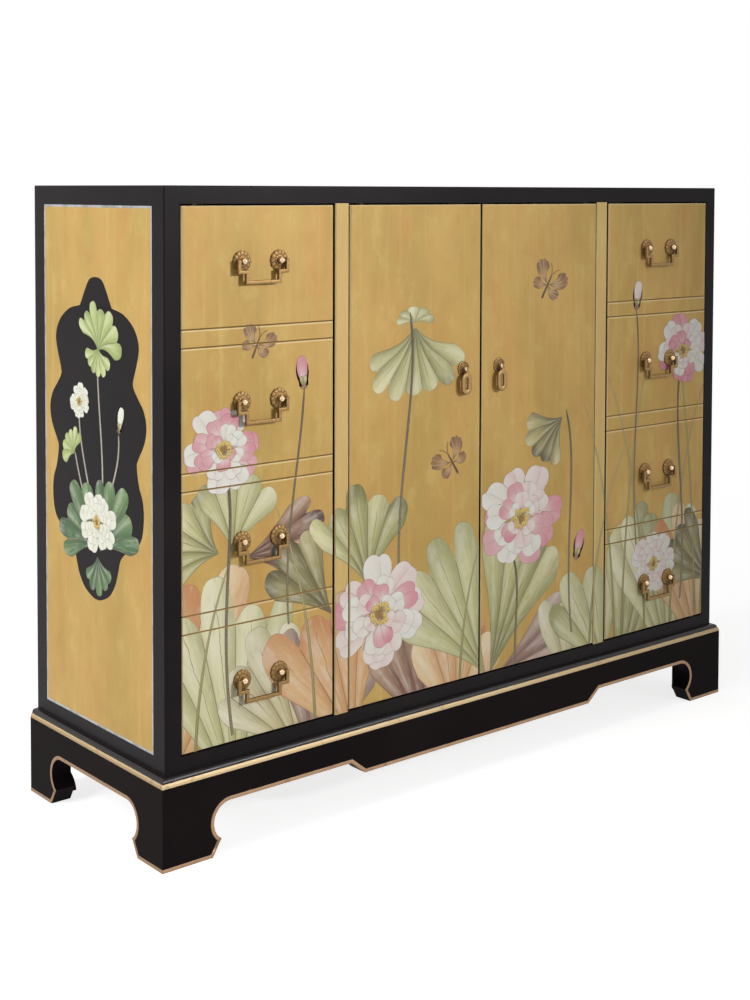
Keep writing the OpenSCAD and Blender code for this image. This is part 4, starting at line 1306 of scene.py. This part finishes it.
def bud(at, size, heading, colours=BLUSH):
    """Three petals that overlap round one direction, with two sepals below."""
    petals = ((-20, 0.94), (20, 0.90), (0, 1.0))
    shapes = [fan(at, heading + turn, size * reach, 20, colours, lobes=1, round_by=0.5, uneven=0.02,
                  flare=0.15, corner=0.3, bow=-turn * 0.9, depth=0.5, grid=(14, 15))
              for turn, reach in petals]
    for turn in (-48, 48):
        shapes.append(fan(at, heading + turn, size * 0.42, 17, MOSS, lobes=1, round_by=0.4, flare=0.2,
                          corner=0.3, bow=-turn * 0.8, depth=0.6, grid=(9, 11)))
    return shapes


def butterfly(at, size, heading):
    """Two pairs of wings as fans, a body and two feelers as strokes."""
    shapes = []
    for turn, reach, spread in ((122, 0.70, 27), (62, 1.0, 26)):
        for side in (-1, 1):
            shapes.append(fan(at, heading + side * turn, size * reach, spread, WING, lobes=4, round_by=0.07,
                              uneven=0.04, flare=0.35, corner=0.30, seed=5, bow=side * -12, lean=0.92,
                              depth=0.75, grid=(12, 6)))
    way = np.array([math.sin(math.radians(heading)), math.cos(math.radians(heading))])
    side = np.array([way[1], -way[0]])
    at = np.array(at)
    body = [at - way * size * 0.55, at - way * size * 0.2, at + way * size * 0.1, at + way * size * 0.32]
    shapes.append(stroke(body, size * 0.10, BODY_DARK, BODY_PALE, tip=0.4, steps=24))
    for s in (-1, 1):
        bends = ((0.3, 0), (0.5, 0.03), (0.62, 0.12), (0.72, 0.24))
        feeler = [at + way * size * ahead + side * s * size * out for ahead, out in bends]
        shapes.append(stroke(feeler, 1.1, FEELER, FEELER, steps=14))
    return shapes


print("a peony has", len(peony((0, 0), 60, 1)), "shapes")

# %% [markdown]
# ## The paint's finish
#
# One material serves every painted shape. Across a fold the paint goes from its own colour to its shade,
# as one loaded brush stroke does, and a fine vein is drawn where two folds meet. Bristle marks are noise
# stretched along the stroke, stems are speckled, and a thin line of umber follows every edge.

# %% Painted lacquer
OUTLINE = seen(104, 70, 54)
SPECKLE = seen(62, 48, 40)
HIGHLIGHT = (0.95, 0.93, 0.84)


def painted_lacquer():
    """Folds, veins, bristle marks, speckles and outlines over two colours from the mesh."""
    f = Finish("painted_lacquer", seen(220, 205, 165))
    paint, shade = f.carried("paint", "Color"), f.carried("shade", "Color")
    across, along, from_edge = f.parts(f.carried("brush", "Vector"))
    depth, fold_width, speckled = f.parts(f.carried("fold", "Vector"))
    stretched = f.make("ShaderNodeCombineXYZ", {}, {0: across * 7, 1: along * 0.022, 2: speckled * 7})
    noise = {"Vector": stretched, "Scale": 1.0, "Detail": 4.0, "Roughness": 0.6}
    bristle = f.make("ShaderNodeTexNoise", {}, noise)
    wash = f.cloud(0.030)
    share = across.part()
    turned_over = (share.rise(0.42, 1.0) * 0.85 + share.rise(0.24, 0.0) * 0.30) * depth
    ridge = share.rise(0.06, 0.30) * share.rise(0.62, 0.34) * wash.rise(0.34, 0.62)
    light = bristle.rise(0.50, 0.30) * 0.26 + ridge * 0.34
    crease = 1 - (share.least(1 - share) * fold_width).rise(0.25, 1.1)
    seam = crease * from_edge.rise(1, 14) * along.rise(6, 26)
    wavy = share + (wash - 0.5) * 0.22
    vein = 1 - (abs(wavy - 0.5) * fold_width).rise(0.20, 0.75)
    rib = vein * from_edge.rise(16, 44) * depth.rise(0.8, 0.9)
    line = (1 - from_edge.rise(0.35, 1.2)) * wash.between(0.25, 1.15)
    dots = f.cloud(0.0016, detail=1).rise(0.54, 0.62) * speckled
    return f.done({
        "Base Color": f.layered(
            paint,
            (turned_over * wash.between(0.35, 1.05), shade),
            (bristle.rise(0.50, 0.74) * 0.30 * depth, shade),
            (light * depth, f.mix(0.72, paint, HIGHLIGHT)),
            (seam * depth * 0.62, OUTLINE),
            (rib * 0.66, OUTLINE),
            (line * 0.72, OUTLINE),
            (dots * 0.75, SPECKLE),
        ),
        "Roughness": bristle.between(0.36, 0.52),
        "Specular IOR Level": 0.4,
        "Normal": f.bump(bristle * 0.7 + wash * 0.3, 0.05 * MM),
    })


decoration = painted_lacquer()

# %% [markdown]
# ## Laying shapes on the wood
#
# Where strokes cross, the later one lies on the earlier. `stacked` keeps a coarse map of how many
# shapes already lie on each spot and puts the next one on top, two hundredths of a millimetre a coat, so
# the paint is thickest in the heart of a flower and never more than a few tenths. On a door the shapes
# are then cut to the panel, just short of its eased edges, and cut out over the grooves, where the paint
# would have sunk in.

# %% Coats and clipping
CELL = 2.5
COAT = 0.02
ON_PLANE = 0.0001 * MM
ACROSS, UP = (1, 0, 0), (0, 0, 1)
KINDS = {"paint": "FLOAT_COLOR", "shade": "FLOAT_COLOR", "brush": "FLOAT_VECTOR", "fold": "FLOAT_VECTOR"}


def stacked(shapes):
    """Gives each shape its coat number: one more than the highest coat under any of its points."""
    low = np.min([s["flat"].min(axis=0) for s in shapes], axis=0) - 2 * CELL
    high = np.max([s["flat"].max(axis=0) for s in shapes], axis=0) + 2 * CELL
    coats = np.zeros(((high - low) / CELL).astype(int) + 3, dtype=int)
    for s in shapes:
        cell = np.unique(((s["flat"] - low) / CELL).astype(int), axis=0)
        spread = np.concatenate([cell + [i, j] for i in (-1, 0, 1) for j in (-1, 0, 1)])
        spot = tuple(np.clip(spread, 0, np.array(coats.shape) - 1).T)
        s["coat"] = coats[spot].max() + 1
        coats[spot] = np.maximum(coats[spot], s["coat"])
    return shapes


def painted_mesh(name, shapes, plane, ground):
    """All the shapes in one mesh on a standing plane, each at the ground's height plus its coats."""
    heights = [np.full(len(s["flat"]), ground + s["coat"] * COAT) for s in shapes]
    points = np.concatenate([stand(s["flat"], height, *plane) for s, height in zip(shapes, heights)])
    shift = np.cumsum([0] + [len(height) for height in heights[:-1]])
    faces = np.concatenate([s["faces"] + k for s, k in zip(shapes, shift)])
    values = {key: (kind, np.concatenate([s[key] for s in shapes])) for key, kind in KINDS.items()}
    return new_mesh(name, points, faces, values)


def cut(mesh, planes, gaps):
    """Keeps what lies inside the planes (point, outward normal) and takes out bands of Z."""
    work = bmesh.new()
    work.from_mesh(mesh)
    cuts = [(point, outward, True) for point, outward in planes]
    cuts += [((0, 0, z), UP, False) for gap in gaps for z in gap]
    for point, outward, cleared in cuts:
        everything = work.verts[:] + work.edges[:] + work.faces[:]
        bmesh.ops.bisect_plane(work, geom=everything, dist=ON_PLANE, plane_co=point, plane_no=outward,
                               clear_outer=cleared)
    for low, high in gaps:
        sunk = [face for face in work.faces if low < face.calc_center_median().z < high]
        bmesh.ops.delete(work, geom=sunk, context="FACES")
    work.to_mesh(mesh)
    work.free()


print("a coat of paint stands", COAT, "mm proud")

# %% [markdown]
# ## The composition on the doors
#
# The upper half stays mostly gold. From the lower edge broad fans spread across all four doors and the
# stiles as if they grew behind them, with three large peonies in front, one high on each outer side, and
# butterflies on the open ground. Leaves come first, then stems and grass, then flowers.

# %% Leaves on the doors
# Each row: where the leaf starts, its heading, length and spread, its tones, its lobes and its lean.
LEAVES = (
    ((-590, 96), 24, 300, 24, PEACH, 3, 1),
    ((-470, 40), -6, 330, 27, MINT, 5, 1),
    ((-352, 96), -30, 214, 30, CREAM, 4, 1),
    ((-340, 60), 14, 226, 32, MAUVE, 4, 1),
    ((-500, 420), -66, 108, 56, SAGE, 5, 1),
    ((-478, 418), 8, 116, 46, MINT, 4, 1),
    ((-456, 408), 84, 136, 34, UMBER, 4, 1),
    ((-300, 300), -40, 150, 30, MOSS, 3, 1),
    ((-252, 80), -18, 250, 32, PEACH, 4, 1),
    ((-232, 330), -6, 150, 46, SAGE, 5, 1),
    ((-150, 60), 26, 270, 24, RUSSET, 4, 1),
    ((-110, 60), -14, 238, 27, UMBER, 4, 1),
    ((-52, 70), 4, 176, 42, PEACH, 4, 1),
    ((14, 148), -34, 252, 30, MINT, 4, 1),
    ((22, 146), 22, 272, 27, SAGE, 4, 1),
    ((34, 140), 72, 196, 25, MAUVE, 3, 1),
    ((204, 60), 10, 190, 36, CREAM, 4, 1),
    ((302, 84), -20, 214, 32, MINT, 4, 1),
    ((330, 60), 16, 300, 24, SAGE, 4, 1),
    ((470, 56), -10, 330, 27, MINT, 5, 1),
    ((560, 60), -16, 300, 24, PEACH, 4, 1),
    ((584, 210), -52, 160, 34, MOSS, 4, 1),
    ((-140, 716), 178, 124, 66, SAGE, 7, 0.92),
    ((-140, 722), 0, 42, 96, MINT, 5, 0.6),
    ((188, 548), -128, 98, 50, MOSS, 5, 0.94),
)
leaves = [fan(*leaf, lean=lean, seed=seed) for seed, (*leaf, lean) in enumerate(LEAVES, 1)]
print(len(leaves), "leaves")

# %% Stems and grass on the doors
# A stem's row is its width and the four points of its curve. A blade's row is its root, how far it leans
# and how high it grows.
STEM, STEM_PALE = (96, 84, 64), (150, 136, 104)
BLADE, BLADE_TIP = (150, 146, 92), (206, 196, 140)
ROOT_Z, BLADE_Z = 140, 150
STEMS = (
    (5.0, (-486, 520), (-470, 440), (-505, 330), (-478, 160)),
    (3.6, (-352, 640), (-360, 520), (-392, 430), (-380, 300)),
    (4.6, (-150, 738), (-128, 610), (-186, 470), (-168, 300)),
    (4.6, (74, 330), (96, 270), (70, 200), (84, 130)),
    (4.4, (196, 560), (230, 470), (190, 330), (214, 180)),
    (4.8, (494, 610), (470, 500), (520, 360), (498, 190)),
    (3.4, (372, 720), (392, 600), (356, 480), (378, 300)),
)
BLADES = ((-540, 40, 300), (-332, -36, 330), (-44, 30, 250), (258, 42, 330), (322, -40, 420),
          (340, 34, 500), (402, -52, 470), (470, 44, 430), (540, -30, 520), (556, 26, 400))


def blade(root, lean_by, height):
    """A stroke from the root that bends over towards its pointed tip."""
    rises = ((0.1, 0.4), (1, 0.8), (2.1, 1))
    bends = [(root + lean_by * over, BLADE_Z + height * up) for over, up in rises]
    return stroke([(root, ROOT_Z), *bends], 5.4, BLADE, BLADE_TIP, tip=1.0, steps=50)


stems = [stroke(path, width, STEM, STEM_PALE, speckle=1.0) for width, *path in STEMS]
blades = [blade(*row) for row in BLADES]
print(len(stems), "stems and", len(blades), "blades of grass")

# %% Flowers and butterflies on the doors
flowers = [
    *peony((-492, 566), 62, seed=3),
    *peony((-210, 286), 86, seed=7, colours=(TIPPED, WHITE, PINK)),
    *bud((-352, 636), 50, -8),
    *peony((92, 392), 88, seed=11, colours=(WHITE, PINK, TIPPED)),
    *bud((222, 300), 54, 16),
    *peony((500, 640), 64, seed=19, colours=(PINK, BLUSH, WHITE)),
    *bud((372, 716), 52, 6, PINK),
    *peony((424, 266), 56, seed=23, colours=(WHITE, PINK)),
    *butterfly((-62, 500), 44, -34),
    *butterfly((150, 770), 48, 32),
    *butterfly((-436, 706), 36, 24),
]
picture = stacked(leaves + blades + stems + flowers)
print(len(picture), "shapes in at most", max(s["coat"] for s in picture), "coats")

# %% Painting cut to doors and stiles
EDGE_IN = 1.1
DOOR_PLANE = ((0, face_y, 0), *TO_FRONT)
groove_gaps = [((z - GROOVE_W / 2) * MM, (z + GROOVE_W / 2) * MM) for z in groove_z]
for name in DOORS + STILES:
    low, high = span(name)
    low, high = low + EDGE_IN, high - EDGE_IN
    inside = [s for s in picture if s["flat"][:, 0].max() > low[0] and s["flat"][:, 0].min() < high[0]]
    mesh = painted_mesh(f"{name}_painting", inside, DOOR_PLANE, SKIN)
    planes = [((corner * MM).tolist(), [sign * k for k in axis])
              for axis in (ACROSS, UP) for corner, sign in ((low, -1), (high, 1))]
    cut(mesh, planes, groove_gaps if "outer" in name else [])
    place(mesh, decoration, name if name in DOORS else "root", "gold_leaf")

# %% [markdown]
# ## The black cartouche on each side
#
# In the middle of each gilded side panel stands a black cartouche with the swelling and narrowing outline
# of a traditional window shape, painted with a small spray of flowers. The outline's right half is a
# smooth curve through a few points, and the surface runs from its mirror image to it: u = c w(t),
# v = z(t).

# %% Cartouche
CARTOUCHE = [
    (0, 799), (18, 795), (31, 779), (38, 768), (45.5, 756.8), (46.5, 756.2), (75, 750.5), (99, 737.5),
    (113, 722), (118, 704), (112, 682), (103, 660), (103, 650), (114, 637), (130, 620), (137, 599),
    (132, 576), (116, 552), (111.5, 541), (117, 515), (127, 494), (129.5, 469), (124, 443), (109, 427),
    (80, 413), (66.5, 401), (60, 383), (51, 362), (36, 345), (15, 335), (0, 332.6),
]
DEEP_GREEN = palette((34, 60, 34), (66, 104, 60), (110, 142, 86), (44, 76, 42))
LIGHT_GREEN = palette((128, 150, 78), (182, 196, 122), (210, 218, 156), (146, 164, 92))
IVORY = palette((190, 188, 140), (236, 236, 214), (244, 244, 230), (206, 206, 176))
STALK, STALK_PALE = (176, 170, 156), (206, 200, 186)


def smooth_curve(points, steps):
    """Each stretch is a cubic in t whose slope at a point is half the step between its neighbours. The
    first and last points take mirror images of their neighbours, so the curve crosses u = 0 level."""
    p = np.array([points[0], *points, points[-1]], float)
    p[0], p[-1] = p[2] * [-1, 1], p[-3] * [-1, 1]
    t = np.linspace(0, 1, steps, endpoint=False)[:, None]
    pieces = [0.5 * (2 * b + (c - a) * t + (2 * a - 5 * b + 4 * c - d) * t ** 2
                     + (3 * b - a - 3 * c + d) * t ** 3)
              for a, b, c, d in zip(p[:-3], p[1:-2], p[2:-1], p[3:])]
    return np.concatenate([*pieces, p[-2:-1]])


def spray():
    """A small arrangement for the cartouche, in its own u and v."""
    stalks = (
        [(6, 700), (-2, 620), (30, 540), (12, 440)],
        [(-48, 610), (-56, 560), (-20, 500), (-6, 440)],
        [(62, 580), (70, 530), (30, 490), (16, 440)],
        [(-62, 540), (-50, 500), (-30, 470), (-14, 430)],
    )
    shapes = [stroke(path, 4.0, STALK, STALK_PALE, speckle=0.6, steps=50) for path in stalks]
    shapes += [
        fan((0, 408), -58, 104, 52, DEEP_GREEN, lobes=5, seed=1),
        fan((8, 404), 38, 116, 46, DEEP_GREEN, lobes=5, seed=2),
        fan((2, 396), 174, 54, 60, DEEP_GREEN, lobes=5, seed=3),
        fan((6, 694), 20, 66, 82, LIGHT_GREEN, lobes=7, seed=4),
        fan((6, 698), 190, 42, 76, LIGHT_GREEN, lobes=6, seed=5),
        fan((-64, 536), -40, 38, 84, LIGHT_GREEN, lobes=6, seed=6),
    ]
    shapes += peony((2, 446), 48, seed=31, colours=(IVORY,))
    shapes += peony((-48, 616), 28, seed=37, colours=(IVORY,))
    shapes += bud((62, 580), 40, 14, IVORY)
    return shapes


outline = smooth_curve(CARTOUCHE, 8)
c = np.linspace(-1, 1, 25)
ground = np.stack([outline[:, 0:1] * c, outline[:, 1:2] + 0 * c], axis=-1)
spray_shapes = stacked(spray())
for side, plane in SIDE_PLANES.items():
    points = stand(ground, np.full(ground.shape[:2], SKIN), *plane)
    faces = quads(*ground.shape[:2])[:, ::-1]
    mesh = new_mesh(f"{side}_cartouche", points.reshape(-1, 3), faces, {})
    place(mesh, lacquer, "root", "black_lacquer")
    mesh = painted_mesh(f"{side}_spray", spray_shapes, plane, 2 * SKIN)
    place(mesh, decoration, "root", "gold_leaf")
